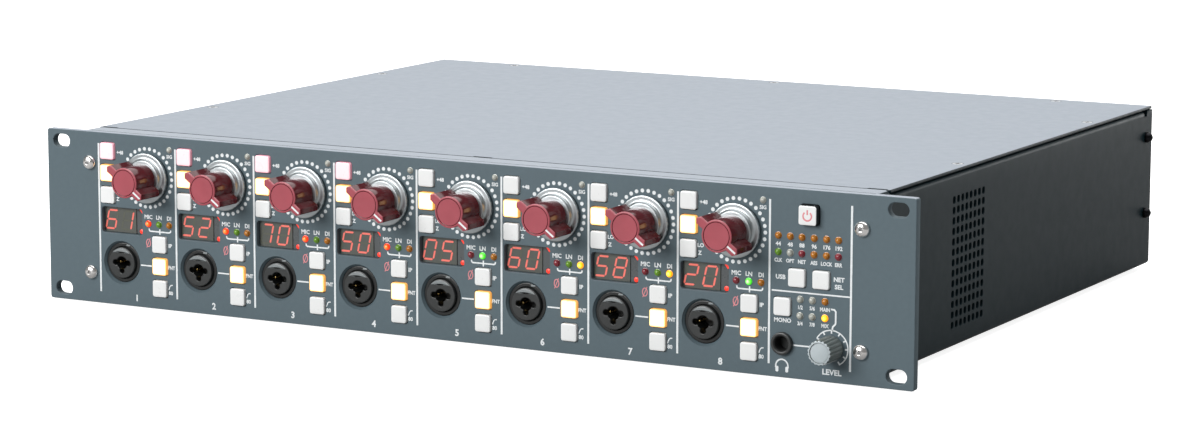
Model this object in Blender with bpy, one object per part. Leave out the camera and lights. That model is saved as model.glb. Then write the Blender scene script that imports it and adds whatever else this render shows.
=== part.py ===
"""Eight-channel microphone preamplifier in a two-unit, 19-inch rack case.

Metres, +Z up. The front panel faces -Y and +X is to the right of someone facing it. Every piece hangs
from the empty "unit", whose own origin is the middle of the front panel's bottom edge, on its front face,
so a local y is a depth behind that face. The empty places the unit so that the world's origin is the
bottom centre of the whole object's box.
"""

import math

import bmesh
import bpy

# Front panel, with the hole spacings of the 19-inch rack standard.
PANEL_WIDTH = 0.4826
PANEL_HEIGHT = 0.0881
PANEL_THICKNESS = 0.0045
RACK_SLOT_SPACING = (0.4651, 0.0762)
RACK_SLOT_LENGTH = 0.0103
RACK_SLOT_HEIGHT = 0.0068
PANEL_SCREW_X = 0.215
PANEL_SCREW_Z = (0.0156, 0.0722)
PANEL_SCREW_HOLE_R = 0.0026
EAR_RELIEF = 0.0001

# Case.
CASE_WIDTH = 0.4425
CASE_DEPTH = 0.360
CASE_BOTTOM_Z = 0.0025
SHEET = 0.0015
GAP = 0.0003
FRONT_STRIP_DEPTH = 0.0165
LIP_WIDTH = 0.0115
COVER_OVERHANG = 0.0006
COVER_NOTCH_LENGTH = 0.010
COVER_NOTCH_DEPTH = 0.0012
COVER_NOTCH_X = (-0.2136, 0.0064, 0.2133)
PANEL_TAB_WIDTH = 0.0095

# Channel strips, each measured from the line on its left.
CHANNEL_COUNT = 8
CHANNEL_PITCH = 0.04725
FIRST_CHANNEL_X = -0.20925
LEFT_BUTTON_X = 0.00575
RIGHT_BUTTON_X = 0.0372
TOP_BUTTON_Z = 0.0788
BOTTOM_BUTTON_Z = 0.0106
BUTTON_PITCH = 0.01125
KNOB_X = 0.0301
KNOB_Z = 0.06665
DISPLAY_X = 0.0139
DISPLAY_Z = 0.0435
DISPLAY_WINDOW = (0.0249, 0.0132)
DISPLAY_RECESS = 0.0025
SOCKET_X = 0.0137
SOCKET_Z = 0.0218
SOCKET_HOLE_R = 0.01125

# Master section.
POWER_X = 0.1890
POWER_Z = 0.0767
MASTER_BUTTONS = ((0.1828, 0.0471), (0.1950, 0.0471), (0.1756, 0.0332))
PHONES_X = 0.1757
PHONES_KNOB_X = 0.2003
PHONES_Z = 0.0160
PHONES_HOLE_R = 0.0048
PHONES_KNOB_HOLE_R = 0.0038

# Push buttons.
CAP_SIZE = 0.0084
CAP_PROUD = 0.0013
POWER_CAP_SIZE = 0.0090
POWER_CAP_PROUD = 0.0033
WINDOW_MARGIN = 0.0003
FLANGE_MARGIN = 0.0010
FLANGE_THICKNESS = 0.0010
STEM_SIZE = 0.0040
STEM_END_Y = 0.0105

# Gain knob: a dial skirt, a round cap and two wings.
KNOB_HEIGHT = 0.0205
KNOB_STANDOFF = 0.0006
SKIRT_R = 0.01275
SKIRT_THICKNESS = 0.0020
HUB_R = 0.0090
HUB_TOP = 0.0046
GRIP_R = 0.00765
WING_REACH = 0.0128
WING_WIDTH = 0.0042
WING_TIP = 0.0015
WING_ANGLE = math.radians(-37.0)
KNOB_HOLE_R = 0.0040
SHAFT_R = 0.0030
SHAFT_END_Y = 0.0075

# Phones level knob.
PHONES_KNOB_R = 0.0060
PHONES_KNOB_TOP_R = 0.0058
PHONES_KNOB_HEIGHT = 0.0135
PHONES_FACE_R = 0.0047
PHONES_FACE_DEPTH = 0.0008

# Boards.
BOARD = 0.0016
CONTROL_BOARD_Y = 0.0140
CONTROL_BOARD_HALF = 0.208
CONTROL_BOARD_Z = (0.007, 0.083)
SOCKET_BODY_R = 0.0110
SOCKET_RING_Y = 0.0015
SOCKET_INSERT_R = 0.0078
SOCKET_BORE_R = 0.0036
SOCKET_BORE_END_Y = 0.024
SOCKET_END_Y = 0.034
SOCKET_BOARD_Z = 0.0072
MAIN_BOARD_Z = 0.012
REAR_BOARD_Y = 0.3480

# Rear connectors, as (x, z) places.
MULTIPIN_X = (-0.110, -0.040, 0.030)
MULTIPIN_Z = 0.045
MULTIPIN_SIZE = (0.0390, 0.0084)
MULTIPIN_END_Y = 0.3655
CLOCK_X = (0.080, 0.102)
CLOCK_R = 0.0048
CLOCK_PROUD = 0.010
NETWORK_X = (0.130, 0.152)
NETWORK_SIZE = (0.0160, 0.0134)
NETWORK_CAVITY = (0.0118, 0.0083)
NETWORK_CAVITY_DEPTH = 0.012
INLET_X = -0.185
INLET_Z = 0.045
INLET_BODY = (0.0270, 0.0196)
INLET_FLANGE = (0.0310, 0.0250)
INLET_CAVITY = (0.0244, 0.0166)
INLET_CAVITY_DEPTH = 0.0165

# The whole box runs from the knob fronts to the ends of the clock sockets.
PANEL_FRONT_Y = (KNOB_HEIGHT - (CASE_DEPTH + CLOCK_PROUD)) / 2

COVER_BOTTOM_Z = PANEL_HEIGHT - SHEET
LIP_TOP_Z = COVER_BOTTOM_Z - GAP
REAR_FACE_Y = CASE_DEPTH - 0.0005
CASE_FRONT_Y = PANEL_THICKNESS + GAP


# ---------------------------------------------------------------- outlines

def rectangle(x, z, width, height):
    """Four corners of a rectangle about (x, z)."""
    return [
        (x - width / 2, z - height / 2),
        (x + width / 2, z - height / 2),
        (x + width / 2, z + height / 2),
        (x - width / 2, z + height / 2),
    ]


def circle(x, z, radius, sides):
    """Corners of a regular polygon about (x, z)."""
    return [
        (x + radius * math.cos(2 * math.pi * i / sides), z + radius * math.sin(2 * math.pi * i / sides))
        for i in range(sides)
    ]


def stadium(x, z, length, height, steps=5):
    """A slot with round ends, its length along the first axis."""
    radius = height / 2
    reach = length / 2 - radius
    points = []
    for side, start in ((1, -90), (-1, 90)):
        for i in range(steps + 1):
            angle = math.radians(start + 180 * i / steps)
            points.append((x + side * reach + radius * math.cos(angle), z + radius * math.sin(angle)))
    return points


def wing_outline():
    """Outline of the gain knob's grip: a round cap with a wing on each side along the x axis."""
    half = WING_WIDTH / 2
    meet = math.asin(half / GRIP_R)
    arc_steps = 5
    points = []
    for turn in (0, math.pi):
        tip = [
            (WING_REACH - WING_TIP, -half),
            (WING_REACH, -half + WING_TIP),
            (WING_REACH, half - WING_TIP),
            (WING_REACH - WING_TIP, half),
        ]
        for u, v in tip:
            points.append((u * math.cos(turn) - v * math.sin(turn), u * math.sin(turn) + v * math.cos(turn)))
        for i in range(arc_steps + 1):
            angle = turn + meet + (math.pi - 2 * meet) * i / arc_steps
            points.append((GRIP_R * math.cos(angle), GRIP_R * math.sin(angle)))
    return points


# ------------------------------------------------------------ closed solids

def along(axis, u, v, w):
    """A point whose length along the given axis is w; u and v are the two other axes, in X, Y, Z order."""
    return {"X": (w, u, v), "Y": (u, w, v), "Z": (u, v, w)}[axis]


def prism(outline, low, high, axis="Y"):
    """Vertices and faces of a flat outline extruded along an axis."""
    count = len(outline)
    points = [along(axis, u, v, w) for w in (low, high) for u, v in outline]
    faces = [tuple(range(count)), tuple(range(count, 2 * count))]
    for i in range(count):
        j = (i + 1) % count
        faces.append((i, j, j + count, i + count))
    return points, faces


def block(x, y, z):
    """A box between two limits on each axis."""
    outline = [(x[0], z[0]), (x[1], z[0]), (x[1], z[1]), (x[0], z[1])]
    return prism(outline, y[0], y[1])


def turned(profile, sides, x=0.0, z=0.0):
    """A body turned about a line along Y, from (radius, y) pairs that start and end on the line."""
    points = []
    rings = []
    for radius, y in profile:
        if radius == 0:
            rings.append([len(points)] * sides)
            points.append((x, y, z))
            continue
        rings.append(list(range(len(points), len(points) + sides)))
        points += [(u, y, v) for u, v in circle(x, z, radius, sides)]
    faces = []
    for one, two in zip(rings, rings[1:]):
        for i in range(sides):
            j = (i + 1) % sides
            corners = []
            for index in (one[i], one[j], two[j], two[i]):
                if index not in corners:
                    corners.append(index)
            faces.append(tuple(corners))
    return points, faces


def through(outlines, low, high):
    """Cutters for openings in a plate that lies between two depths."""
    margin = 0.001
    return [prism(outline, low - margin, high + margin) for outline in outlines]


def shifted(shape, x, z):
    """The same shape moved across the panel."""
    points, faces = shape
    return [(px + x, py, pz + z) for px, py, pz in points], faces


def mesh_of(name, shapes):
    """One mesh that holds the given shapes, each with its faces pointing out."""
    work = bmesh.new()
    for points, faces in shapes:
        vertices = [work.verts.new(point) for point in points]
        for face in faces:
            work.faces.new([vertices[i] for i in face])
    bmesh.ops.recalc_face_normals(work, faces=work.faces)
    mesh = bpy.data.meshes.new(name)
    work.to_mesh(mesh)
    work.free()
    return mesh


def place(name, mesh, location=(0, 0, 0)):
    """Puts a mesh into the scene under the unit's empty."""
    thing = bpy.data.objects.new(name, mesh)
    bpy.context.scene.collection.objects.link(thing)
    thing.parent = unit
    thing.location = location
    return thing


def work_on(thing, operation, shapes):
    """Adds shapes to a solid, or cuts them out of it. The shapes must be clear of each other."""
    name = f"{thing.name}_{operation.lower()}_{len(thing.modifiers)}"
    tool = place(name, mesh_of(name, shapes), thing.location)
    tool.hide_render = True
    tool.display_type = "WIRE"
    step = thing.modifiers.new(name, "BOOLEAN")
    step.operation = operation
    step.solver = "EXACT"
    step.object = tool


def piece(name, shape, material, joined=(), cut=(), joined_last=(), location=(0, 0, 0), smooth=False):
    """One named solid: a first shape, groups of shapes joined to it, shapes cut out, and a last group."""
    mesh = mesh_of(name, [shape])
    if smooth:
        mesh.shade_smooth()
        mesh.set_sharp_from_angle(angle=math.radians(30))
    mesh.materials.append(material)
    thing = place(name, mesh, location)
    for group in joined:
        work_on(thing, "UNION", group)
    if cut:
        work_on(thing, "DIFFERENCE", cut)
    if joined_last:
        work_on(thing, "UNION", joined_last)
    return thing


def finish(name, colour, roughness, metallic=0.0):
    """A plain material."""
    material = bpy.data.materials.new(name)
    material.use_nodes = True
    shader = material.node_tree.nodes["Principled BSDF"]
    shader.inputs["Base Color"].default_value = (*colour, 1.0)
    shader.inputs["Roughness"].default_value = roughness
    shader.inputs["Metallic"].default_value = metallic
    return material


# ------------------------------------------------------------------- layout

def channel_x(number):
    """The line on the left of a channel, numbered from 1."""
    return FIRST_CHANNEL_X + CHANNEL_PITCH * (number - 1)


def column(bottom_z):
    """Heights of three buttons, from the lowest."""
    return [bottom_z + BUTTON_PITCH * i for i in range(3)]


LEFT_BUTTON_ZS = column(TOP_BUTTON_Z - 2 * BUTTON_PITCH)
RIGHT_BUTTON_ZS = column(BOTTOM_BUTTON_Z)
CHANNELS = range(1, CHANNEL_COUNT + 1)


def rack_slots():
    """Centres of the four mounting slots."""
    middle = PANEL_HEIGHT / 2
    across, up = RACK_SLOT_SPACING
    return [(sx * across / 2, middle + sz * up / 2) for sx in (-1, 1) for sz in (-1, 1)]


def panel_screws():
    """Centres of the four screws that hold the panel to the case."""
    return [(side * PANEL_SCREW_X, z) for side in (-1, 1) for z in PANEL_SCREW_Z]


# -------------------------------------------------------------------- shell

def front_panel():
    """A thick flat plate with every opening the controls need, and ears dressed flat on the back."""
    window = CAP_SIZE + 2 * WINDOW_MARGIN
    holes = [stadium(x, z, RACK_SLOT_LENGTH, RACK_SLOT_HEIGHT) for x, z in rack_slots()]
    holes += [circle(x, z, PANEL_SCREW_HOLE_R, 8) for x, z in panel_screws()]
    for number in CHANNELS:
        left = channel_x(number)
        holes += [rectangle(left + LEFT_BUTTON_X, z, window, window) for z in LEFT_BUTTON_ZS]
        holes += [rectangle(left + RIGHT_BUTTON_X, z, window, window) for z in RIGHT_BUTTON_ZS]
        holes.append(circle(left + KNOB_X, KNOB_Z, KNOB_HOLE_R, 8))
        holes.append(rectangle(left + DISPLAY_X, DISPLAY_Z, *DISPLAY_WINDOW))
        holes.append(circle(left + SOCKET_X, SOCKET_Z, SOCKET_HOLE_R, 16))
    holes += [rectangle(x, z, window, window) for x, z in MASTER_BUTTONS]
    power_window = POWER_CAP_SIZE + 2 * WINDOW_MARGIN
    holes.append(rectangle(POWER_X, POWER_Z, power_window, power_window))
    holes.append(circle(PHONES_X, PHONES_Z, PHONES_HOLE_R, 12))
    holes.append(circle(PHONES_KNOB_X, PHONES_Z, PHONES_KNOB_HOLE_R, 10))
    outline = rectangle(0, PANEL_HEIGHT / 2, PANEL_WIDTH, PANEL_HEIGHT)
    cut = through(holes, 0, PANEL_THICKNESS)
    plate = piece("front_panel", prism(outline, 0, PANEL_THICKNESS), blue_grey, cut=cut)
    margin = 0.001
    ear_backs = [
        block(sorted((side * (CASE_WIDTH / 2 + GAP), side * (PANEL_WIDTH / 2 + margin))),
              (PANEL_THICKNESS - EAR_RELIEF, PANEL_THICKNESS + margin), (-margin, PANEL_HEIGHT + margin))
        for side in (-1, 1)
    ]
    work_on(plate, "DIFFERENCE", ear_backs)


def chassis_tray():
    """A folded tray: floor and sides, a lip along each side, a strip behind the panel's top, and tabs."""
    half = CASE_WIDTH / 2
    inner = half - SHEET
    floor_top = CASE_BOTTOM_Z + SHEET
    fold = [
        (-half, CASE_BOTTOM_Z),
        (half, CASE_BOTTOM_Z),
        (half, LIP_TOP_Z),
        (inner, LIP_TOP_Z),
        (inner, floor_top),
        (-inner, floor_top),
        (-inner, LIP_TOP_Z),
        (-half, LIP_TOP_Z),
    ]
    strip_foot = LIP_TOP_Z - 0.006
    strip = [
        (-half, strip_foot),
        (-inner, strip_foot),
        (-inner, COVER_BOTTOM_Z),
        (inner, COVER_BOTTOM_Z),
        (inner, strip_foot),
        (half, strip_foot),
        (half, PANEL_HEIGHT),
        (-half, PANEL_HEIGHT),
    ]
    lip_end = REAR_BOARD_Y
    bite = SHEET / 2
    lips = [
        block(sorted((side * (half - LIP_WIDTH), side * (inner + bite))),
              (FRONT_STRIP_DEPTH + GAP, lip_end), (LIP_TOP_Z - SHEET, LIP_TOP_Z))
        for side in (-1, 1)
    ]
    tab_front = CASE_FRONT_Y + GAP
    tabs = [
        block(sorted((side * (inner + bite - PANEL_TAB_WIDTH), side * (inner + bite))),
              (tab_front, tab_front + SHEET), (floor_top - bite, strip_foot + bite))
        for side in (-1, 1)
    ]
    relief = 0.004
    notches = [
        block(sorted((side * (inner - 0.001), side * (half + 0.001))),
              (lip_end + 0.0002, lip_end + relief), (LIP_TOP_Z - 0.003, LIP_TOP_Z + 0.001))
        for side in (-1, 1)
    ]
    holes = [circle(x, z, PANEL_SCREW_HOLE_R, 8) for x, z in panel_screws()]
    screw_holes = through(holes, tab_front, tab_front + SHEET)
    piece(
        "chassis_tray",
        prism(fold, CASE_FRONT_Y, CASE_DEPTH),
        dark_grey,
        joined=[[prism(strip, CASE_FRONT_Y, FRONT_STRIP_DEPTH)], lips, tabs],
        cut=notches + screw_holes,
    )


def top_cover():
    """A flat sheet with three shallow notches along its front edge."""
    half = CASE_WIDTH / 2 - GAP
    front = FRONT_STRIP_DEPTH + GAP
    rear = CASE_DEPTH + COVER_OVERHANG
    outline = [(-half, front)]
    for x in COVER_NOTCH_X:
        left = x - COVER_NOTCH_LENGTH / 2
        right = x + COVER_NOTCH_LENGTH / 2
        back = front + COVER_NOTCH_DEPTH
        outline += [(left, front), (left, back), (right, back), (right, front)]
    outline += [(half, front), (half, rear), (-half, rear)]
    piece("top_cover", prism(outline, COVER_BOTTOM_Z, PANEL_HEIGHT, axis="Z"), light_grey)


def rear_panel():
    """A plate with a flange under the cover and a hole for each connector."""
    half = CASE_WIDTH / 2 - SHEET - GAP
    bottom = CASE_BOTTOM_Z + SHEET + GAP
    outline = [(-half, bottom), (half, bottom), (half, LIP_TOP_Z), (-half, LIP_TOP_Z)]
    holes = [rectangle(INLET_X, INLET_Z, INLET_BODY[0] + 2 * GAP, INLET_BODY[1] + 2 * GAP)]
    for x in MULTIPIN_X:
        holes.append(rectangle(x, MULTIPIN_Z, MULTIPIN_SIZE[0] + 2 * GAP, MULTIPIN_SIZE[1] + 2 * GAP))
    holes += [circle(x, MULTIPIN_Z, CLOCK_R + GAP, 12) for x in CLOCK_X]
    for x in NETWORK_X:
        holes.append(rectangle(x, MULTIPIN_Z, NETWORK_SIZE[0] + 2 * GAP, NETWORK_SIZE[1] + 2 * GAP))
    inside = REAR_FACE_Y - SHEET
    flange_half = CASE_WIDTH / 2 - LIP_WIDTH - GAP
    flange_top = LIP_TOP_Z - GAP
    flange = block((-flange_half, flange_half), (REAR_BOARD_Y + 2 * GAP, inside + SHEET / 2),
                   (flange_top - SHEET, flange_top))
    piece("rear_panel", prism(outline, inside, REAR_FACE_Y), dark_grey,
          joined=[[flange]], cut=through(holes, inside, REAR_FACE_Y))


# ------------------------------------------------------------------ controls

def button_shape(size, proud):
    """A square cap that passes the panel, a wider flange behind it, and a stem."""
    flange_front = PANEL_THICKNESS + 2 * GAP
    flange_back = flange_front + FLANGE_THICKNESS
    overlap = 0.0004
    corner = 0.0008
    half = size / 2
    outline = [
        (-half + corner, -half), (half - corner, -half), (half, -half + corner), (half, half - corner),
        (half - corner, half), (-half + corner, half), (-half, half - corner), (-half, -half + corner),
    ]
    cap = prism(outline, -proud, flange_front + overlap)
    wide = size / 2 + FLANGE_MARGIN
    flange = block((-wide, wide), (flange_front, flange_back), (-wide, wide))
    stem_half = STEM_SIZE / 2
    stem = block((-stem_half, stem_half), (flange_back - overlap, STEM_END_Y), (-stem_half, stem_half))
    return cap, flange, stem


def single_button(name, x, z, material, size=CAP_SIZE, proud=CAP_PROUD):
    """A push button with its origin at the middle of its window."""
    cap, flange, stem = button_shape(size, proud)
    piece(name, flange, material, joined=[[cap], [stem]], location=(x, 0, z))


def triple_button(name, x, zs, material):
    """Three caps on one carrier behind the panel, with its origin at the middle cap."""
    middle = zs[1]
    cap, _, stem = button_shape(CAP_SIZE, CAP_PROUD)
    flange_front = PANEL_THICKNESS + 2 * GAP
    wide = CAP_SIZE / 2 + FLANGE_MARGIN
    carrier = block((-wide, wide), (flange_front, flange_front + FLANGE_THICKNESS),
                    (zs[0] - middle - wide, zs[2] - middle + wide))
    caps = [shifted(cap, 0, z - middle) for z in zs]
    stems = [shifted(stem, 0, z - middle) for z in zs]
    piece(name, carrier, material, joined=[caps, stems], location=(x, 0, middle))


def channel_buttons():
    """The left column of each channel is one carrier; the right column is three separate buttons."""
    for number in CHANNELS:
        left = channel_x(number)
        triple_button(f"left_buttons_{number}", left + LEFT_BUTTON_X, LEFT_BUTTON_ZS, white)
        for label, z in zip(("low", "middle", "top"), RIGHT_BUTTON_ZS):
            single_button(f"{label}_button_{number}", left + RIGHT_BUTTON_X, z, white)


def master_buttons():
    """Three small buttons and the taller power button."""
    for index, (x, z) in enumerate(MASTER_BUTTONS, start=1):
        single_button(f"master_button_{index}", x, z, white)
    single_button("power_button", POWER_X, POWER_Z, white, POWER_CAP_SIZE, POWER_CAP_PROUD)


def gain_knobs():
    """Dial skirt with a raised hub, a winged grip and a shaft; the origin is on the turning axis."""
    back = -KNOB_STANDOFF
    skirt = turned(
        [
            (0, -HUB_TOP), (HUB_R - 0.001, -HUB_TOP), (HUB_R, back - SKIRT_THICKNESS),
            (SKIRT_R - 0.0006, back - SKIRT_THICKNESS), (SKIRT_R, back), (SHAFT_R, back),
            (SHAFT_R, SHAFT_END_Y), (0, SHAFT_END_Y),
        ],
        16,
    )
    cosine, sine = math.cos(WING_ANGLE), math.sin(WING_ANGLE)
    outline = [(u * cosine - v * sine, u * sine + v * cosine) for u, v in wing_outline()]
    grip = prism(outline, -KNOB_HEIGHT, back - SKIRT_THICKNESS / 2)
    for number in CHANNELS:
        x = channel_x(number) + KNOB_X
        piece(f"gain_knob_{number}", skirt, red, joined=[[grip]], location=(x, 0, KNOB_Z), smooth=True)


def phones_knob():
    """A small tapered knob with a sunk face, and its shaft."""
    back = -KNOB_STANDOFF
    front = -PHONES_KNOB_HEIGHT
    edge = 0.0003
    body = turned(
        [
            (0, front + PHONES_FACE_DEPTH), (PHONES_FACE_R, front + PHONES_FACE_DEPTH),
            (PHONES_FACE_R, front), (PHONES_KNOB_TOP_R - edge, front), (PHONES_KNOB_TOP_R, front + edge),
            (PHONES_KNOB_R, back), (SHAFT_R, back), (SHAFT_R, SHAFT_END_Y), (0, SHAFT_END_Y),
        ],
        18,
    )
    piece("phones_knob", body, mid_grey, location=(PHONES_KNOB_X, 0, PHONES_Z), smooth=True)


# ------------------------------------------------------------------- insides

def control_board():
    """The board behind the panel, with displays, encoders and switches, and holes round the sockets."""
    y = CONTROL_BOARD_Y
    bite = BOARD / 4
    low, high = CONTROL_BOARD_Z
    outline = rectangle(0, (low + high) / 2, 2 * CONTROL_BOARD_HALF, high - low)
    holes = [circle(channel_x(number) + SOCKET_X, SOCKET_Z, SOCKET_BODY_R + 0.001, 16) for number in CHANNELS]
    holes.append(rectangle(PHONES_X, PHONES_Z, 0.0134, 0.0134))
    display = (DISPLAY_WINDOW[0] - 2 * WINDOW_MARGIN, DISPLAY_WINDOW[1] - 2 * WINDOW_MARGIN)
    switch_front = STEM_END_Y + 0.0020
    switch = 0.0070
    encoder = 0.012
    encoder_front = SHAFT_END_Y + GAP
    parts = []
    for number in CHANNELS:
        left = channel_x(number)
        parts.append(prism(rectangle(left + DISPLAY_X, DISPLAY_Z, *display), DISPLAY_RECESS, y + bite))
        parts.append(prism(rectangle(left + KNOB_X, KNOB_Z, encoder, encoder), encoder_front, y + bite))
        for x, zs in ((LEFT_BUTTON_X, LEFT_BUTTON_ZS), (RIGHT_BUTTON_X, RIGHT_BUTTON_ZS)):
            strip = rectangle(left + x, zs[1], switch, 2 * BUTTON_PITCH + switch)
            parts.append(prism(strip, switch_front, y + bite))
    for x, z in (*MASTER_BUTTONS, (POWER_X, POWER_Z)):
        parts.append(prism(rectangle(x, z, switch, switch), switch_front, y + bite))
    pot = prism(rectangle(PHONES_KNOB_X, PHONES_Z, 0.010, 0.012), encoder_front, y + bite)
    parts.append(pot)
    piece("control_board", prism(outline, y, y + BOARD), board_green,
          joined=[parts], cut=through(holes, y, y + BOARD))


def input_socket_board():
    """Eight combined jack and three-pin sockets soldered to one flat board."""
    ends = (channel_x(1) + SOCKET_X - 0.014, channel_x(CHANNEL_COUNT) + SOCKET_X + 0.014)
    board = block(ends, (0.020, 0.060), (SOCKET_BOARD_Z, SOCKET_BOARD_Z + BOARD))
    legs = []
    sockets = []
    for number in CHANNELS:
        x = channel_x(number) + SOCKET_X
        leg_z = (SOCKET_BOARD_Z + BOARD / 2, SOCKET_Z - 0.006)
        legs.append(block((x - 0.009, x + 0.009), (0.022, 0.0325), leg_z))
        sockets.append(turned(
            [
                (0, SOCKET_BORE_END_Y), (SOCKET_BORE_R, SOCKET_BORE_END_Y), (SOCKET_BORE_R, 0),
                (SOCKET_INSERT_R, 0), (SOCKET_INSERT_R, SOCKET_RING_Y), (SOCKET_BODY_R, SOCKET_RING_Y),
                (SOCKET_BODY_R, SOCKET_END_Y), (0, SOCKET_END_Y),
            ],
            16, x, SOCKET_Z,
        ))
    piece("input_socket_board", board, black, joined=[legs, sockets])


def phones_socket():
    """A quarter-inch jack socket held by a ring nut on the front of the panel."""
    nut_r = 0.0053
    nut_front = -0.0020
    barrel_r = PHONES_HOLE_R - GAP
    bore_r = 0.00325
    bore_end = 0.026
    box_end = 0.030
    sides = 16
    body = turned(
        [
            (0, nut_front), (nut_r - 0.0004, nut_front), (nut_r, nut_front + 0.0004),
            (nut_r, -GAP), (barrel_r, -GAP), (barrel_r, bore_end), (0, bore_end),
        ],
        sides, PHONES_X, PHONES_Z,
    )
    box = prism(rectangle(PHONES_X, PHONES_Z, 0.012, 0.012), PANEL_THICKNESS + GAP, box_end)
    bore = prism(circle(PHONES_X, PHONES_Z, bore_r, sides), nut_front - 0.001, bore_end)
    piece("phones_socket", body, black, joined=[[box]], cut=[bore])


def main_board():
    """The amplifier board on posts, with a screened block for each channel and a row of capacitors."""
    x_range = (-0.205, 0.095)
    y_range = (0.100, 0.330)
    top = MAIN_BOARD_Z + BOARD
    board = block(x_range, y_range, (MAIN_BOARD_Z, top))
    parts = []
    pitch = 0.036
    for index in range(CHANNEL_COUNT):
        x = x_range[0] + 0.024 + pitch * index
        parts.append(block((x - 0.013, x + 0.013), (0.115, 0.175), (top - BOARD / 4, top + 0.014)))
        for y in (0.200, 0.240):
            parts.append(prism(circle(x, y, 0.005, 6), top - BOARD / 4, top + 0.012, axis="Z"))
    parts.append(block((-0.120, 0.010), (0.280, 0.300), (top - BOARD / 4, top + 0.010)))
    posts = [
        prism(circle(x, y, 0.003, 6), CASE_BOTTOM_Z + SHEET + GAP, MAIN_BOARD_Z + BOARD / 4, axis="Z")
        for x in (x_range[0] + 0.008, (x_range[0] + x_range[1]) / 2, x_range[1] - 0.008)
        for y in (y_range[0] + 0.008, y_range[1] - 0.008)
    ]
    piece("main_board", board, board_green, joined=[parts, posts])


def power_supply():
    """An open-frame supply: a base plate with a transformer, capacitors and a finned heat sink."""
    floor = CASE_BOTTOM_Z + SHEET + GAP
    base_top = floor + 0.004
    base = block((0.112, 0.206), (0.150, 0.330), (floor, base_top))
    parts = [block((0.128, 0.168), (0.225, 0.265), (base_top - 0.001, 0.040))]
    parts += [prism(circle(0.130, y, 0.009, 10), base_top - 0.001, 0.036, axis="Z") for y in (0.170, 0.195)]
    parts.append(block((0.120, 0.160), (0.285, 0.315), (base_top - 0.001, 0.030)))
    fins = 5
    for index in range(fins):
        x = 0.178 + 0.005 * index
        parts.append(block((x, x + 0.002), (0.165, 0.315), (base_top - 0.001, 0.042)))
    piece("power_supply", base, bare_metal, joined=[parts])


def rear_io_board():
    """The upright board that carries the rear connectors."""
    y = REAR_BOARD_Y
    outline = [(-0.145, 0.022), (0.175, 0.022), (0.175, 0.068), (-0.145, 0.068)]
    bite = BOARD / 4
    start = y + BOARD - bite
    parts = [
        prism(rectangle(x, MULTIPIN_Z, *MULTIPIN_SIZE), start, MULTIPIN_END_Y) for x in MULTIPIN_X
    ]
    parts += [prism(circle(x, MULTIPIN_Z, CLOCK_R, 12), start, CASE_DEPTH + CLOCK_PROUD) for x in CLOCK_X]
    parts += [prism(rectangle(x, MULTIPIN_Z, *NETWORK_SIZE), start, CASE_DEPTH + 0.001) for x in NETWORK_X]
    mouth = CASE_DEPTH + 0.001
    cavities = [
        prism(rectangle(x, MULTIPIN_Z, *NETWORK_CAVITY), mouth - NETWORK_CAVITY_DEPTH + 0.003, mouth + 0.002)
        for x in NETWORK_X
    ]
    piece("rear_io_board", prism(outline, y, y + BOARD), black, joined=[parts], cut=cavities)


def mains_inlet():
    """A three-pin mains inlet whose flange sits on the rear panel."""
    face = REAR_FACE_Y + GAP + 0.0020
    body = prism(rectangle(INLET_X, INLET_Z, *INLET_BODY), face - 0.030, face - 0.0005)
    flange = prism(rectangle(INLET_X, INLET_Z, *INLET_FLANGE), REAR_FACE_Y + GAP, face)
    bottom = face - INLET_CAVITY_DEPTH
    cavity = prism(rectangle(INLET_X, INLET_Z, *INLET_CAVITY), bottom, face + 0.001)
    pins = [
        block((INLET_X + dx - 0.001, INLET_X + dx + 0.001), (bottom - 0.001, face - 0.0025),
              (INLET_Z + dz - 0.002, INLET_Z + dz + 0.002))
        for dx, dz in ((-0.007, -0.002), (0, 0.002), (0.007, -0.002))
    ]
    piece("mains_inlet", body, black, joined=[[flange]], cut=[cavity], joined_last=pins)


def panel_screw_set():
    """Four pan-head screws through the panel into the tray's tabs."""
    head_r = 0.0038
    thread_r = 0.0020
    shape = turned(
        [
            (0, -0.0026), (head_r - 0.0012, -0.0026), (head_r, -0.0014), (head_r, -GAP),
            (thread_r, -GAP), (thread_r, 0.012), (0, 0.012),
        ],
        12,
    )
    for index, (x, z) in enumerate(panel_screws(), start=1):
        piece(f"panel_screw_{index}", shape, bright_metal, location=(x, 0, z), smooth=True)


# ----------------------------------------------------------------- the unit

for old in list(bpy.data.objects):
    bpy.data.objects.remove(old, do_unlink=True)

unit = bpy.data.objects.new("unit", None)
bpy.context.scene.collection.objects.link(unit)
unit.location = (0, PANEL_FRONT_Y, 0)

blue_grey = finish("blue_grey_paint", (0.115, 0.150, 0.170), 0.42)
light_grey = finish("light_grey_paint", (0.46, 0.50, 0.56), 0.40)
dark_grey = finish("dark_grey_paint", (0.035, 0.040, 0.044), 0.45)
white = finish("white_plastic", (0.80, 0.80, 0.80), 0.35)
red = finish("red_plastic", (0.42, 0.05, 0.06), 0.40)
mid_grey = finish("grey_plastic", (0.22, 0.23, 0.24), 0.45)
black = finish("black_plastic", (0.015, 0.015, 0.016), 0.45)
board_green = finish("board_green", (0.02, 0.14, 0.07), 0.40)
bare_metal = finish("bare_metal", (0.62, 0.63, 0.65), 0.35, 1.0)
bright_metal = finish("bright_metal", (0.75, 0.76, 0.78), 0.25, 1.0)

front_panel()
chassis_tray()
top_cover()
rear_panel()
channel_buttons()
master_buttons()
gain_knobs()
phones_knob()
control_board()
input_socket_board()
phones_socket()
main_board()
power_supply()
rear_io_board()
mains_inlet()
panel_screw_set()
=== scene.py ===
"""Looks of the eight-channel microphone preamp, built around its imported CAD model.

Shapes are written in panel millimetres: x from the middle of the panel, y behind the panel's front
face (so what stands proud of the panel has a negative y) and z up from the panel's lower edge.
"""
import math

import bmesh
import bpy
from mathutils import Matrix, Vector
from mathutils.geometry import delaunay_2d_cdt


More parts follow.
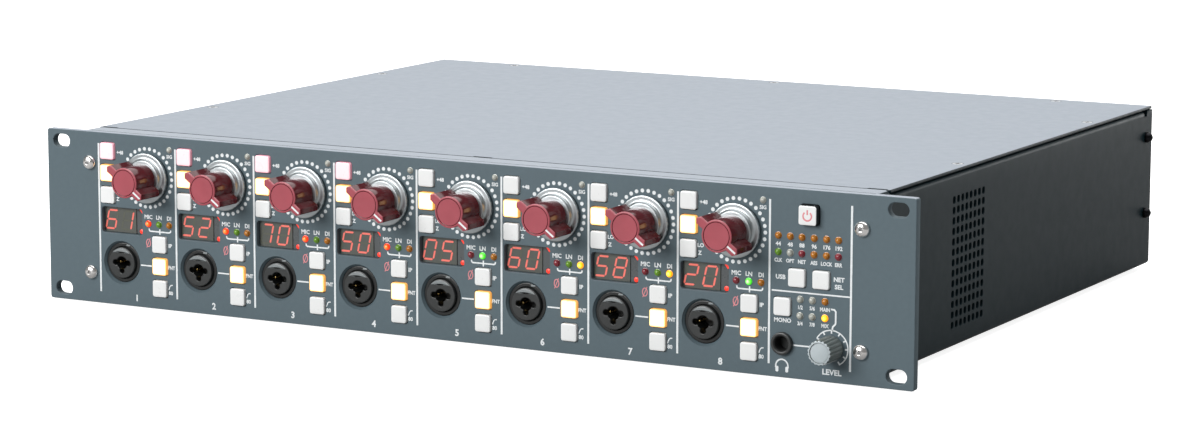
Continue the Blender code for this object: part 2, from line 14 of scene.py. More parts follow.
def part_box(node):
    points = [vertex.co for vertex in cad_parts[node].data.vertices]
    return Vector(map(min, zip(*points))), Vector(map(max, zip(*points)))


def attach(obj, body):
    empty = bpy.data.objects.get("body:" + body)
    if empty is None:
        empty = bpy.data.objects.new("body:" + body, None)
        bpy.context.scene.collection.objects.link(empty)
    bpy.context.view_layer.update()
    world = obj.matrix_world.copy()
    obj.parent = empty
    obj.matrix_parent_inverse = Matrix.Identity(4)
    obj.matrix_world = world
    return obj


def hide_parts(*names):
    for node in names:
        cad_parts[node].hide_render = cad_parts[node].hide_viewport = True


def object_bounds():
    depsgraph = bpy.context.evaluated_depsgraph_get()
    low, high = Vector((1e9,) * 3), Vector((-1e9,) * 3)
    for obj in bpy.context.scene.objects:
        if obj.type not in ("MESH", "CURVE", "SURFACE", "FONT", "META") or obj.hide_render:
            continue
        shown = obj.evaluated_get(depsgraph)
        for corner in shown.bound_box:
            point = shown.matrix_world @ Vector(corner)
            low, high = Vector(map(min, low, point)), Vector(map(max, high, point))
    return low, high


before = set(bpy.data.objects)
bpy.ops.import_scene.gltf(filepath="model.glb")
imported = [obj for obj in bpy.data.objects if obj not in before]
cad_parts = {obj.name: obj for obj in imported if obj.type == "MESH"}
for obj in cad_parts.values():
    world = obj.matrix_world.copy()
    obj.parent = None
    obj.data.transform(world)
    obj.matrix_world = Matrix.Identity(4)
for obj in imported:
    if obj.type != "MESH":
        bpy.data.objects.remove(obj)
CAD_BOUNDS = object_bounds()

MM = 0.001
FACE_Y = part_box("front_panel")[0].y
CHANNELS = range(1, 9)
CASE = "case"

# Panel and legends.
INK = 0.05
OVER_INK = 1.2 * INK
LINE = 0.7
SEPARATOR = 1.0
SEPARATOR_Z = (6.0, 82.4)

# Panel holes.
SLOT_X, SLOT_RISE = 232.55, 38.1
SLOT = (10.3, 6.8, 3.38)
DIAL_HOLE_R = 3.7
SOCKET_HOLE_R = 10.25
JACK_HOLE_R = 4.8
PHONES_HOLE_R = 3.8
POWER_WINDOW = 9.6

# Channel layout, from the channel's left line.
KNOB_X, KNOB_Z = 30.1, 66.65
LEFT_BUTTON_X, RIGHT_BUTTON_X = 5.75, 37.2
LEFT_BUTTONS_Z = (56.3, 67.55, 78.8)
RIGHT_BUTTONS_Z = (10.6, 21.85, 33.1)
CHANNEL_BUTTONS = [(LEFT_BUTTON_X, z) for z in LEFT_BUTTONS_Z]
CHANNEL_BUTTONS += [(RIGHT_BUTTON_X, z) for z in RIGHT_BUTTONS_Z]
DISPLAY_X, DISPLAY_Z = 13.9, 43.5
DISPLAY_SIZE = (24.9, 13.2)
SOCKET_X, SOCKET_Z = 13.5, 21.9
LAMPS_Z = 43.3
LAMPS_X = (30.3, 36.8, 43.0)
SIGNAL_LAMP = (43.7, 81.7)
READINGS = ("61", "52", "70", "50", "05", "60", "58", "20")
SOURCES = (0, 0, 0, 0, 1, 2, 2, 1)

# Master section.
POWER = (189.0, 76.7)
MASTER_BUTTONS = ((182.8, 47.1), (195.0, 47.1), (175.6, 33.2))
PHONES_Z = 16.0
PHONES_X, PHONES_KNOB_X = 175.7, 200.3

# Case: the folds' tops, the strip's lower edge and the vents (first place, pitch and count).
TRAY_TOP = 86.3
STRIP_TOP, STRIP_Z = 88.1, 79.4
SHEET = 1.5
BEND = 1.7
VENT_Y, VENT_PITCH_Y, VENT_COLUMNS = 90.6, 5.11, 8
VENT_Z, VENT_PITCH_Z, VENT_ROWS = 13.4, 5.017, 13

# Rear sockets.
REAR_Z = 45.0
MULTIPIN_X = (-110.0, -40.0, 30.0)
CLOCK_X = (80.0, 102.0)
NETWORK_X = (130.0, 152.0)
INLET_X = -185.0

# Buttons.
CAP = 8.4
CAP_PROUD = 1.3
CAP_RADIUS = 1.1
WINDOW = 9.0

# Gain knob.
DOTS = 30
DOTS_R = 14.85
POINTER = math.radians(-37)

AXES = {
    "x": lambda u, v, depth: (depth, u, v),
    "y": lambda u, v, depth: (u, depth, v),
    "z": lambda u, v, depth: (u, v, depth),
}


def span(node):
    """Lowest and highest corners of a CAD node, in panel millimetres."""
    shift = Vector((0, FACE_Y, 0))
    return tuple((corner - shift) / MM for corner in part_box(node))


def middle(node):
    low, high = span(node)
    return (low + high) / 2


LEFTS = {n: middle(f"gain_knob_{n}").x - KNOB_X for n in CHANNELS}
PITCH = LEFTS[2] - LEFTS[1]
MASTER_LEFT = LEFTS[8] + PITCH
MASTER_RIGHT = MASTER_LEFT + 41.0


def polar(u, v, reach, turn):
    """The point at a distance and an angle from (u, v)."""
    return u + reach * math.cos(turn), v + reach * math.sin(turn)


# Outlines: each is a function of how far the outline grows, and gives a loop of (u, v) points.

def polygon(points):
    """An outline through the points, which grows by moving each side outwards."""
    count = len(points)
    area = sum(points[i - 1][0] * points[i][1] - points[i][0] * points[i - 1][1] for i in range(count))
    turn = 1 if area > 0 else -1

    def normal(a, b):
        du, dv = b[0] - a[0], b[1] - a[1]
        length = math.hypot(du, dv) or 1
        return turn * dv / length, -turn * du / length

    def outline(grow=0.0):
        loop = []
        for i, (u, v) in enumerate(points):
            before = normal(points[i - 1], points[i])
            after = normal(points[i], points[(i + 1) % count])
            share = grow / max(0.35, 1 + before[0] * after[0] + before[1] * after[1])
            loop.append((u + share * (before[0] + after[0]), v + share * (before[1] + after[1])))
        return loop
    return outline


def circle(u, v, radius, sides=32):
    def outline(grow=0.0):
        return [polar(u, v, radius + grow, math.tau * i / sides) for i in range(sides)]
    return outline


def rounded(u, v, width, height, radius, steps=4):
    def outline(grow=0.0):
        loop = []
        for quarter, (side_u, side_v) in enumerate(((1, 1), (-1, 1), (-1, -1), (1, -1))):
            corner_u = u + side_u * (width / 2 - radius)
            corner_v = v + side_v * (height / 2 - radius)
            for step in range(steps + 1):
                turn = (quarter + step / steps) * math.pi / 2
                loop.append(polar(corner_u, corner_v, radius + grow, turn))
        return loop
    return outline


def arc(u, v, radius, start, end, steps):
    """Points along an arc between two angles in degrees."""
    sweep = math.radians(end - start)
    return [polar(u, v, radius, math.radians(start) + sweep * i / steps) for i in range(steps + 1)]


# Faces.

def band(starts, count):
    """The faces between rings of points, which start at these places."""
    faces = []
    for a, b in zip(starts, starts[1:]):
        faces += [[a + i, a + (i + 1) % count, b + (i + 1) % count, b + i] for i in range(count)]
    return faces


def filled(loops):
    """The faces of the flat region between loops. Each loop is its points and where they start."""
    flat = [Vector(point) for loop, _ in loops for point in loop]
    index = [start + i for loop, start in loops for i in range(len(loop))]
    rims, at = [], 0
    for loop, _ in loops:
        rims.append(list(range(at, at + len(loop))))
        at += len(loop)
    _, _, cells, sources, _, _ = delaunay_2d_cdt(flat, [], rims, 2, 1e-6)
    return [[index[sources[i][0]] for i in cell] for cell in cells]


def placed(name, data):
    """An object of the data, in the scene."""
    made = bpy.data.objects.new(name, data)
    bpy.context.scene.collection.objects.link(made)
    return made


class Piece:
    """Collects closed shapes and makes one object of them, which rides on a body of the frame."""

    def __init__(self, name):
        self.name = name
        self.points, self.faces, self.slots, self.tones = [], [], [], []

    def add(self, points, faces, slot=0, tone=0.0):
        start = len(self.points)
        self.points += points
        self.faces += [[start + i for i in face] for face in faces]
        self.slots += slot if isinstance(slot, list) else [slot] * len(faces)
        self.tones += tone if isinstance(tone, list) else [tone] * len(points)

    def loft(self, loops, slot=0, tones=None, slots=None):
        """Joins equal loops of 3-D points in turn and caps both ends. A loop of one point is a pole."""
        points, starts, faces, kinds = [], [], [], []
        for loop in loops:
            starts.append(len(points))
            points += loop
        for step in range(len(loops) - 1):
            a, b = loops[step], loops[step + 1]
            count = max(len(a), len(b))
            for i in range(count):
                j = (i + 1) % count
                face = [starts[step] + i % len(a), starts[step] + j % len(a),
                        starts[step + 1] + j % len(b), starts[step + 1] + i % len(b)]
                faces.append(list(dict.fromkeys(face)))
                kinds.append(slots[step] if slots else slot)
        for end in (0, -1):
            if len(loops[end]) > 1:
                faces.append([starts[end] + i for i in range(len(loops[end]))])
                kinds.append((slots[0] if end == 0 else slots[-1]) if slots else slot)
        level = [tones[i] if tones else 0.0 for i, loop in enumerate(loops) for _ in loop]
        self.add(points, faces, kinds, level)

    def turned(self, u, v, profile, sides=32, axis="y", slot=0, tones=None, slots=None):
        """A turned shape from a profile of (radius, depth). Without tones, a loop's tone is its radius."""
        put = AXES[axis]
        loops = []
        for radius, depth in profile:
            if radius <= 0:
                loops.append([put(u, v, depth)])
            else:
                loops.append([put(*point, depth) for point in circle(u, v, radius, sides)()])
        self.loft(loops, slot, tones or [radius for radius, _ in profile], slots)

    def block(self, outline, low, high, edge=0.2, axis="y", slot=0):
        """A solid between two depths with soft edges. A narrow ring round each end keeps it shaded flat."""
        put = AXES[axis]
        bite, rim = 0.3 * edge, 1.3 * edge
        rings = [(low, -rim), (low, -edge), (low + bite, -bite), (low + edge, 0), (high - edge, 0),
                 (high, -edge), (high, -rim)]
        self.loft([[put(*point, depth) for point in outline(grow)] for depth, grow in rings], slot)

    @staticmethod
    def rimmed(rings, rim=0.12):
        """The rings with a narrow flat one added at each end, so that the flat faces stay shaded flat."""
        (first, grow_first), (last, grow_last) = rings[0], rings[-1]
        return [(first, grow_first + rim), *rings, (last, grow_last + rim)]

    def plate(self, outer, holes, low, high, edge=0.25, axis="y", slot=0, wall_slot=None):
        """A flat plate with holes. A hole is an outline, or one with its own (depth, grow) rings."""
        put = AXES[axis]
        down = edge if high > low else -edge
        soft = [(low, edge), (low + 0.3 * down, 0.3 * edge), (low + down, 0), (high - down, 0),
                (high, edge)]
        loops = [(outer, [(depth, -grow) for depth, grow in self.rimmed(soft)])]
        for hole in holes:
            outline, rings = hole if isinstance(hole, tuple) else (hole, soft)
            loops.append((outline, self.rimmed(rings)))
        points, faces, kinds = [], [], []
        ends = ([], [])
        for number, (outline, rings) in enumerate(loops):
            starts = []
            for depth, grow in rings:
                starts.append(len(points))
                flat = outline(grow)
                points += [put(*point, depth) for point in flat]
            walls = band(starts, len(flat))
            faces += walls
            kinds += [wall_slot if wall_slot is not None and number else slot] * len(walls)
            for end, ring in zip(ends, (0, -1)):
                end.append((outline(rings[ring][1]), starts[ring]))
        for end in ends:
            cells = filled(end)
            faces += cells
            kinds += [slot] * len(cells)
        self.add(points, faces, kinds)

    def ribbon(self, path, width, low=-INK, high=INK / 2, axis="y", slot=0, closed=False):
        """A flat line of one width through the points."""
        put = AXES[axis]
        count = len(path)
        sides = []
        for i, (u, v) in enumerate(path):
            before = path[i - 1] if i or closed else path[i]
            after = path[(i + 1) % count] if i < count - 1 or closed else path[i]
            into, out = Vector((u - before[0], v - before[1])), Vector((after[0] - u, after[1] - v))
            into = into.normalized() if into.length else out.normalized()
            out = out.normalized() if out.length else into
            along = (into + out).normalized()
            reach = width / 2 / max(0.4, along.dot(into))
            sides.append((Vector((u, v)), Vector((-along.y, along.x)) * reach))
        loops = []
        for at, side in sides:
            corners = ((at + side, low), (at - side, low), (at - side, high), (at + side, high))
            loops.append([put(corner.x, corner.y, depth) for corner, depth in corners])
        if closed:
            points = [point for loop in loops for point in loop]
            faces = []
            for i in range(count):
                a, b = 4 * i, 4 * ((i + 1) % count)
                faces += [[a + k, a + (k + 1) % 4, b + (k + 1) % 4, b + k] for k in range(4)]
            self.add(points, faces, slot)
        else:
            self.loft(loops, slot)

    def text(self, words, u, v, size, stretch=1.0):
        """Raised printed letters on the panel's face, centred on (u, v)."""
        curve = bpy.data.curves.new("letters", "FONT")
        curve.body = words
        curve.size = size / 0.73
        curve.extrude = 0.75 * INK
        curve.offset = 0.045 * size
        curve.resolution_u = 2
        curve.align_x = "CENTER"
        letters = bpy.data.objects.new("letters", curve)
        mesh = bpy.data.meshes.new_from_object(letters)
        shell = bmesh.new()
        shell.from_mesh(mesh)
        bmesh.ops.remove_doubles(shell, verts=shell.verts, dist=1e-4)
        points = []
        for vert in shell.verts:
            points.append((u + vert.co.x * stretch, -INK / 4 - vert.co.z, v + vert.co.y - size / 2))
        self.add(points, [[vert.index for vert in face.verts] for face in shell.faces])
        shell.free()
        bpy.data.objects.remove(letters)
        bpy.data.curves.remove(curve)
        bpy.data.meshes.remove(mesh)

    def mesh(self, smooth=32):
        mesh = bpy.data.meshes.new(self.name)
        mesh.from_pydata(self.points, [], self.faces)
        shell = bmesh.new()
        shell.from_mesh(mesh)
        for face, slot in zip(shell.faces, self.slots):
            face.material_index = slot
        layer = shell.verts.layers.float.new("tone")
        for vert, tone in zip(shell.verts, self.tones):
            vert[layer] = tone
        bmesh.ops.recalc_face_normals(shell, faces=shell.faces)
        shell.to_mesh(mesh)
        shell.free()
        mesh.transform(Matrix.Translation((0, FACE_Y, 0)) @ Matrix.Scale(MM, 4))
        mesh.shade_smooth()
        mesh.set_sharp_from_angle(angle=math.radians(smooth))
        return mesh

    def object(self, looks, smooth=32):
        piece = placed(self.name, self.mesh(smooth))
        for look in looks:
            piece.data.materials.append(look.material)
        return piece

    def finish(self, body, looks, replaces=(), smooth=32):
        piece = self.object(looks, smooth)
        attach(piece, body)
        if replaces:
            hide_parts(*replaces)
        return piece


def cut(piece, tools, operation="DIFFERENCE"):
    """Cuts the tools' solids out of a piece, or joins them to it."""
    cutter = tools.object([])
    modifier = piece.modifiers.new("cut", "BOOLEAN")
    modifier.operation = operation
    modifier.solver = "EXACT"
    modifier.object = cutter
    bpy.context.view_layer.update()
    graph = bpy.context.evaluated_depsgraph_get()
    result = bpy.data.meshes.new_from_object(piece.evaluated_get(graph))
    piece.modifiers.clear()
    piece.data = result
    bpy.data.objects.remove(cutter)


# Materials. Noise patterns are sized in metres; "tone" is a number that each vertex carries.

class Look:
    """A Principled material with its nodes."""

    def __init__(self, name, colour, roughness, **sockets):
        self.material = bpy.data.materials.new(name)
        self.material.use_nodes = True
        self.material.diffuse_color = (*colour, 1)
        self.tree = self.material.node_tree
        self.shader = self.tree.nodes["Principled BSDF"]
        self.shader.inputs["Base Color"].default_value = (*colour, 1)
        self.shader.inputs["Roughness"].default_value = roughness
        for socket, value in sockets.items():
            self.shader.inputs[socket.replace("_", " ").title().replace("Ior", "IOR")].default_value = value
        self.colour, self.roughness = colour, roughness

    def node(self, kind, **values):
        made = self.tree.nodes.new(kind)
        for name, value in values.items():
            setattr(made, name, value)
        return made

    def link(self, source, target):
        self.tree.links.new(source, target)

    def noise(self, scale, detail=3.0, rough=0.5, stretch=None):
        place = self.node("ShaderNodeTexCoord").outputs["Object"]
        if stretch:
            mapping = self.node("ShaderNodeMapping")
            mapping.inputs["Scale"].default_value = stretch
            self.link(place, mapping.inputs["Vector"])
            place = mapping.outputs["Vector"]
        texture = self.node("ShaderNodeTexNoise")
        self.link(place, texture.inputs["Vector"])
        texture.inputs["Scale"].default_value = scale
        texture.inputs["Detail"].default_value = detail
        texture.inputs["Roughness"].default_value = rough
        return texture.outputs["Fac"]

    def scaled(self, value, low, high, start=0.3, end=0.7):
        ranged = self.node("ShaderNodeMapRange")
        self.link(value, ranged.inputs["Value"])
        for name, number in (("From Min", start), ("From Max", end), ("To Min", low), ("To Max", high)):
            ranged.inputs[name].default_value = number
        return ranged.outputs["Result"]

    def ramp(self, value, stops):
        ramp = self.node("ShaderNodeValToRGB")
        while len(ramp.color_ramp.elements) < len(stops):
            ramp.color_ramp.elements.new(0.5)
        for element, (place, colour) in zip(ramp.color_ramp.elements, stops):
            element.position = place
            element.color = (*colour, 1)
        self.link(value, ramp.inputs["Fac"])
        return ramp.outputs["Color"]

    def tone(self):
        return self.node("ShaderNodeAttribute", attribute_name="tone").outputs["Fac"]

    def mottle(self, amount, scale, start=0.3, end=0.7):
        """The base colour drifts lighter and darker by the amount."""
        darker = tuple(c * (1 - amount) for c in self.colour)
        lighter = tuple(c * (1 + amount) for c in self.colour)
        colour = self.ramp(self.noise(scale), ((start, darker), (end, lighter)))
        self.link(colour, self.shader.inputs["Base Color"])
        return self

    def wander(self, amount, scale):
        """The roughness drifts by the amount."""
        value = self.scaled(self.noise(scale, 2), self.roughness - amount, self.roughness + amount)
        self.link(value, self.shader.inputs["Roughness"])
        return self

    def grain(self, height, scale, detail=2.0, stretch=None):
        """Fine relief of a height in millimetres."""
        bump = self.node("ShaderNodeBump")
        bump.inputs["Strength"].default_value = 1.0
        bump.inputs["Distance"].default_value = height * MM
        self.link(self.noise(scale, detail, stretch=stretch), bump.inputs["Height"])
        self.link(bump.outputs["Normal"], self.shader.inputs["Normal"])
        return self

    def spun(self):
        tangent = self.node("ShaderNodeTangent", direction_type="RADIAL", axis="Y")
        self.link(tangent.outputs["Tangent"], self.shader.inputs["Tangent"])
        return self

    def lit(self, colour):
        """An even light of one colour from inside."""
        self.shader.inputs["Emission Color"].default_value = (*colour, 1)
        return self

    def glow(self, stops, strength):
        """Light from inside that follows the tone, from the rim to the middle."""
        self.link(self.ramp(self.tone(), stops), self.shader.inputs["Emission Color"])
        self.shader.inputs["Emission Strength"].default_value = strength
        return self


def surface(name, colour, roughness, mottle, grain=None, wander=None, **sockets):
    """A look whose colour, relief and roughness vary, each with its own amount and scale."""
    look = Look(name, colour, roughness, **sockets).mottle(*mottle)
    if wander:
        look.wander(*wander)
    return look.grain(*grain) if grain else look


def paint(name, colour, roughness, relief=0.010, **sockets):
    return surface(name, colour, roughness, (0.03, 400), (relief, 1100), (0.03, 160), **sockets)


def plastic(name, colour, roughness, relief=0.006):
    return surface(name, colour, roughness, (0.06, 120), (relief, 1600), (0.04, 300))


def metal(name, colour, roughness):
    brushed = (0.004, 1200, 2.0, (1, 6, 1))
    return surface(name, colour, roughness, (0.05, 200), brushed, (0.06, 500), metallic=1.0)


def lamp(name, body, glow=None):
    """A lamp's dome. The three colours of its glow run from its rim to its top."""
    look = surface(name, body, 0.16, (0.12, 700), (0.004, 1500), coat_weight=0.25, coat_roughness=0.08)
    return look.glow(tuple(zip((0.0, 0.5, 1.0), glow)), 1.1) if glow else look


def lit_cap(name, rim, middle_colour, rim_glow, middle_glow, strength=1.0):
    """A lit cap: its own colour and its glow both run from the rim to the middle."""
    look = Look(name, (0.8, 0.8, 0.8), 0.3).wander(0.04, 300).grain(0.004, 1600)
    colour = look.ramp(look.tone(), ((0.0, rim), (0.3, middle_colour), (1.0, middle_colour)))
    look.link(colour, look.shader.inputs["Base Color"])
    return look.glow(((0.0, rim_glow), (0.3, middle_glow), (1.0, middle_glow)), strength)


PANEL_PAINT = paint("panel_paint", (0.080, 0.113, 0.130), 0.56, specular_ior_level=0.35)
# The cover's top paint is much lighter than the sheet's own dark paint: painted sheen, standing in for the
# grazing reflection on the top.
COVER_SHEEN_PAINT = paint("cover_painted_sheen", (0.22, 0.255, 0.30), 0.38, specular_ior_level=0.6)
# The top strip's paint is lighter still: painted sheen on the upward faces of the dark tray sheet and of
# the panel's top edge.
STRIP_SHEEN_PAINT = paint("strip_painted_sheen", (0.25, 0.285, 0.33), 0.38, specular_ior_level=0.6)
CASE_PAINT = paint("case_paint", (0.007, 0.0175, 0.022), 0.36, 0.004, specular_ior_level=0.12)

INK_WHITE = surface("ink_white", (0.68, 0.71, 0.72), 0.55, (0.04, 500), (0.006, 2500), (0.08, 900))
INK_RED = surface("ink_red", (0.62, 0.22, 0.24), 0.55, (0.10, 500), (0.006, 2500))
CAP_PLAIN = surface("cap_plain", (0.71, 0.72, 0.715), 0.30, (0.008, 120), (0.002, 1600), (0.03, 300))
CAP_SIDE = plastic("cap_side", (0.012, 0.013, 0.014), 0.35)
CAP_PINK = lit_cap("cap_lit_pink", (0.90, 0.52, 0.60), (0.86, 0.66, 0.68),
                   (0.20, 0.06, 0.08), (0.24, 0.13, 0.14))
CAP_WARM = lit_cap("cap_lit_warm", (0.92, 0.54, 0.22), (0.90, 0.82, 0.68),
                   (0.30, 0.13, 0.02), (1.0, 0.50, 0.12), 2.2)
BLACK = plastic("black_plastic", (0.008, 0.009, 0.009), 0.38)
GREY = plastic("grey_plastic", (0.027, 0.029, 0.029), 0.34)
# A much lighter grey for the socket insert's top ledge and tab: painted highlight where the light falls on
# them.
GREY_HIGHLIGHT = plastic("grey_ledge_painted_highlight", (0.20, 0.22, 0.225), 0.30)
# Near black for hollows: painted shade in screw recesses, in the phones socket's bore and behind the vents.
RECESS_SHADE = surface("painted_recess_shade", (0.004, 0.004, 0.004), 0.7, (0.3, 300), (0.01, 900))

GOLD = metal("gold_contact", (0.75, 0.52, 0.20), 0.25)
STEEL = metal("plated_steel", (0.70, 0.71, 0.71), 0.24)
SCREW = metal("panel_screw_steel", (0.86, 0.84, 0.82), 0.18)
BLACK_SCREW = metal("black_screw", (0.016, 0.016, 0.018), 0.30)
SHEET_METAL = metal("sheet_metal", (0.62, 0.63, 0.64), 0.38)
BOARD = surface("board_green", (0.02, 0.11, 0.05), 0.32, (0.25, 140, 0.42, 0.58), (0.03, 500))

# The knob's red plastic in two copies: a dark glossy one for the sides and the groove's walls, painted
# shade, and a lighter one for the face, painted light.
RED_SHADED_SIDE = surface("knob_red_painted_shade", (0.075, 0.006, 0.009), 0.12, (0.06, 200), wander=(0.03, 300),
                   specular_ior_level=0.35)
RED_LIT_FACE = plastic("knob_red_painted_light", (0.32, 0.058, 0.076), 0.36, 0.004)
DIAL = surface("spun_metal", (0.42, 0.45, 0.46), 0.34, (0.02, 300), wander=(0.02, 400),
               metallic=1.0, anisotropic=0.1).spun()
PHONES_BODY = plastic("phones_knob_body", (0.150, 0.175, 0.170), 0.32)
# A lighter grey for the phones knob's recessed cap and its rounded front rim; on the rim it is painted
# highlight.
PHONES_CAP_AND_RIM_HIGHLIGHT = plastic("phones_knob_cap_and_painted_rim_highlight", (0.40, 0.45, 0.47), 0.38)

DISPLAY_FACE = surface("display_face", (0.078, 0.083, 0.073), 0.22, (0.05, 200), (0.003, 700), (0.05, 300),
                       coat_weight=0.3, coat_roughness=0.1)
DISPLAY_EDGE = surface("display_edge", (0.075, 0.082, 0.085), 0.3, (0.05, 200), (0.004, 700), (0.05, 300))
SEGMENT_ON = surface("segment_on", (0.5, 0.12, 0.1), 0.3, (0.08, 900), (0.003, 900),
                     emission_strength=0.40).lit((1.0, 0.17, 0.12))
SEGMENT_OFF = surface("segment_off", (0.088, 0.093, 0.072), 0.24, (0.06, 900), (0.003, 900))
CORNER_LAMP = surface("corner_lamp", (0.5, 0.03, 0.02), 0.3, (0.1, 900), (0.003, 900),
                      emission_strength=0.8).lit((1.0, 0.045, 0.02))

# Each lamp's body colour and, where it is lit, its glow.
LAMPS = {
    "red_on": ((0.4, 0.03, 0.01), ((0.7, 0.01, 0.0), (1.0, 0.09, 0.0), (1.0, 0.50, 0.10))),
    "red_off": ((0.20, 0.015, 0.025),),
    "green_on": ((0.1, 0.5, 0.05), ((0.0, 0.35, 0.0), (0.12, 1.0, 0.04), (0.85, 1.0, 0.7))),
    "green_off": ((0.11, 0.25, 0.010),),
    "amber_off": ((0.38, 0.130, 0.003),),
    "yellow_on": ((0.7, 0.4, 0.02), ((0.8, 0.2, 0.0), (1.0, 0.62, 0.0), (1.0, 0.95, 0.25))),
    "clear": ((0.36, 0.37, 0.33),),
}
LAMP_ORDER = sorted(LAMPS)
LAMP_LOOKS = [lamp(f"lamp_{state}", *LAMPS[state]) for state in LAMP_ORDER]


def dome(piece, u, v, state, radius=1.5, proud=1.6, sides=20):
    """A round lamp whose rounded end stands proud of the panel."""
    rise = 0.85 * radius
    profile = [(radius + 0.25, 0.1), (radius + 0.25, -0.12), (radius, -0.2), (radius, rise - proud)]
    tones = [0.0, 0.0, 0.0, 0.05]
    for step in range(1, 7):
        turn = step * math.pi / 12
        profile.append((radius * math.cos(turn), rise * (1 - math.sin(turn)) - proud))
        tones.append(0.05 + 0.95 * step / 6)
    profile[-1] = (0, -proud)
    piece.turned(u, v, profile, sides, slot=LAMP_ORDER.index(state), tones=tones)


def cap(piece, u, v, slot=0, side_slot=None, proud=CAP_PROUD, size=CAP, back=10.5):
    """A push button's cap: a soft square face, its flange behind the panel and its stem."""
    outline = rounded(u, v, size, size, CAP_RADIUS)
    flange = rounded(u, v, size + 1.0, size + 1.0, CAP_RADIUS)
    stem = rounded(u, v, 4.0, 4.0, 0.3)
    rings = [(stem, back, 0), (stem, 6.1, 0), (flange, 6.1, 0), (flange, 5.1, 0), (outline, 5.1, 0),
             (outline, 0.45 - proud, 0), (outline, 0.16 - proud, -0.12), (outline, 0.03 - proud, -0.4),
             (outline, -proud, -0.7)]
    loops = [[(a, depth, b) for a, b in shape(grow)] for shape, depth, grow in rings]
    tones = [0.0] * 7 + [0.12, 0.3]
    for reach, tone in ((0.66, 0.5), (0.45, 0.8), (0.2, 1.0)):
        loops.append([(u + (a - u) * reach, -proud, v + (b - v) * reach) for a, b in outline(-0.4)])
        tones.append(tone)
    side = slot if side_slot is None else side_slot
    piece.loft(loops, slot, tones, [side] * 6 + [slot] * (len(loops) - 7))


def button_head(piece, u, v, radius, proud, axis="y", facing=-1, base=0.0):
    """A button-head screw: a low dome with a socket for a hexagonal key."""
    put = AXES[axis]
    sides = 36

    def ring(reach, depth):
        return [put(*point, base + facing * depth) for point in circle(u, v, reach, sides)()]

    loops = [ring(radius - 0.3, -0.1), ring(radius - 0.05, 0.05), ring(radius, 0.3)]
    mouth = 0.36 * radius
    rise = math.acos(mouth / radius)
    for step in range(1, 9):
        turn = rise * step / 8
        height = (proud - 0.3) * math.sin(turn) / math.sin(rise)
        loops.append(ring(radius * math.cos(turn), 0.3 + height))

    def hexagon(across, depth):
        loop = []
        for i in range(sides):
            turn = math.tau * i / sides
            reach = across / math.cos(turn % (math.pi / 3) - math.pi / 6)
            loop.append(put(*polar(u, v, reach, turn), base + facing * depth))
        return loop

    loops += [ring(0.34 * radius, proud), hexagon(0.25 * radius, proud - 0.08),
              hexagon(0.25 * radius, 0.45 * proud), hexagon(0.05 * radius, 0.22 * proud)]
    piece.loft(loops, slots=[0] * (len(loops) - 2) + [1])


def countersunk(piece, u, v, radius, top, depth=0.9):
    """A flush countersunk screw in the cover, with a cross recess."""
    sides = 32
    profile = [(0.5 * radius, top - depth), (radius, top - 0.12), (radius - 0.1, top - 0.02)]
    loops = [[(a, b, height) for a, b in circle(u, v, reach, sides)()] for reach, height in profile]
    cross = []
    for i in range(sides):
        turn = math.tau * i / sides
        off = abs(turn - round(turn / (math.pi / 2)) * (math.pi / 2))
        reach = min(0.6 * radius, 0.16 * radius / max(math.sin(off), 1e-6))
        cross.append(polar(u, v, reach, turn))
    loops.append([(a, b, top - 0.03) for a, b in cross])
    loops.append([(u + 0.6 * (a - u), v + 0.6 * (b - v), top - 0.7) for a, b in cross])
    piece.loft(loops, slots=[0, 0, 0, 1])


# Front panel.

def repaint(piece, picked):
    """The faces that the test picks take the piece's second material."""
    for face in piece.data.polygons:
        if picked(face):
            face.material_index = 1


def top_strip(face):
    """Whether a face looks up along the top edge. These faces take a lighter paint, like the cover's, as
    painted sheen standing in for the grazing reflection on them.
    """
    return face.center.z / MM > 87.6 and face.normal.z > 0.6


def front_plate():
    low, high = span("front_panel")
    width, height = high.x - low.x, high.z - low.z
    holes = []
    for x in (-SLOT_X, SLOT_X):
        for z in (height / 2 - SLOT_RISE, height / 2 + SLOT_RISE):
            holes.append(rounded(x, z, *SLOT, 8))
    lip = [(0, 1.0), (0.25, 0.92), (1.0, 0.15), (1.25, 0), (4.2, 0), (4.5, 0.2)]
    for left in LEFTS.values():
        holes.append(rounded(left + DISPLAY_X, DISPLAY_Z, *DISPLAY_SIZE, 1.5))
        holes += [rounded(left + x, z, WINDOW, WINDOW, 1.3) for x, z in CHANNEL_BUTTONS]
        holes.append((circle(left + SOCKET_X, SOCKET_Z, SOCKET_HOLE_R, 64), lip))
        holes.append(circle(left + KNOB_X, KNOB_Z, DIAL_HOLE_R, 24))
    holes += [rounded(x, z, WINDOW, WINDOW, 1.3) for x, z in MASTER_BUTTONS]
    holes.append(rounded(*POWER, POWER_WINDOW, POWER_WINDOW, 1.4))
    holes.append(circle(PHONES_X, PHONES_Z, JACK_HOLE_R, 32))
    holes.append(circle(PHONES_KNOB_X, PHONES_Z, PHONES_HOLE_R, 24))
    plate = Piece("front_plate")
    outer = rounded((low.x + high.x) / 2, (low.z + high.z) / 2, width, height, 1.2)
    plate.plate(outer, holes, low.y, high.y, edge=0.35)
    panel = plate.finish(CASE, [PANEL_PAINT, STRIP_SHEEN_PAINT], ["front_panel"])
    # The panel's upward top edge takes the painted sheen, not the panel's own blue-grey.
    repaint(panel, top_strip)


def lamp_bracket(piece, u):
    """The bracket under a channel's three source lamps."""
    left, right = u + 30.6, u + 43.9
    path = [(left, 40.9), (left + 0.15, 40.0), (left + 0.8, 39.6),
            (right - 0.8, 39.6), (right - 0.15, 40.0), (right, 40.9)]
    piece.ribbon(path, LINE)
    piece.ribbon([(u + RIGHT_BUTTON_X, 41.0), (u + RIGHT_BUTTON_X, 38.2)], LINE, low=-OVER_INK)


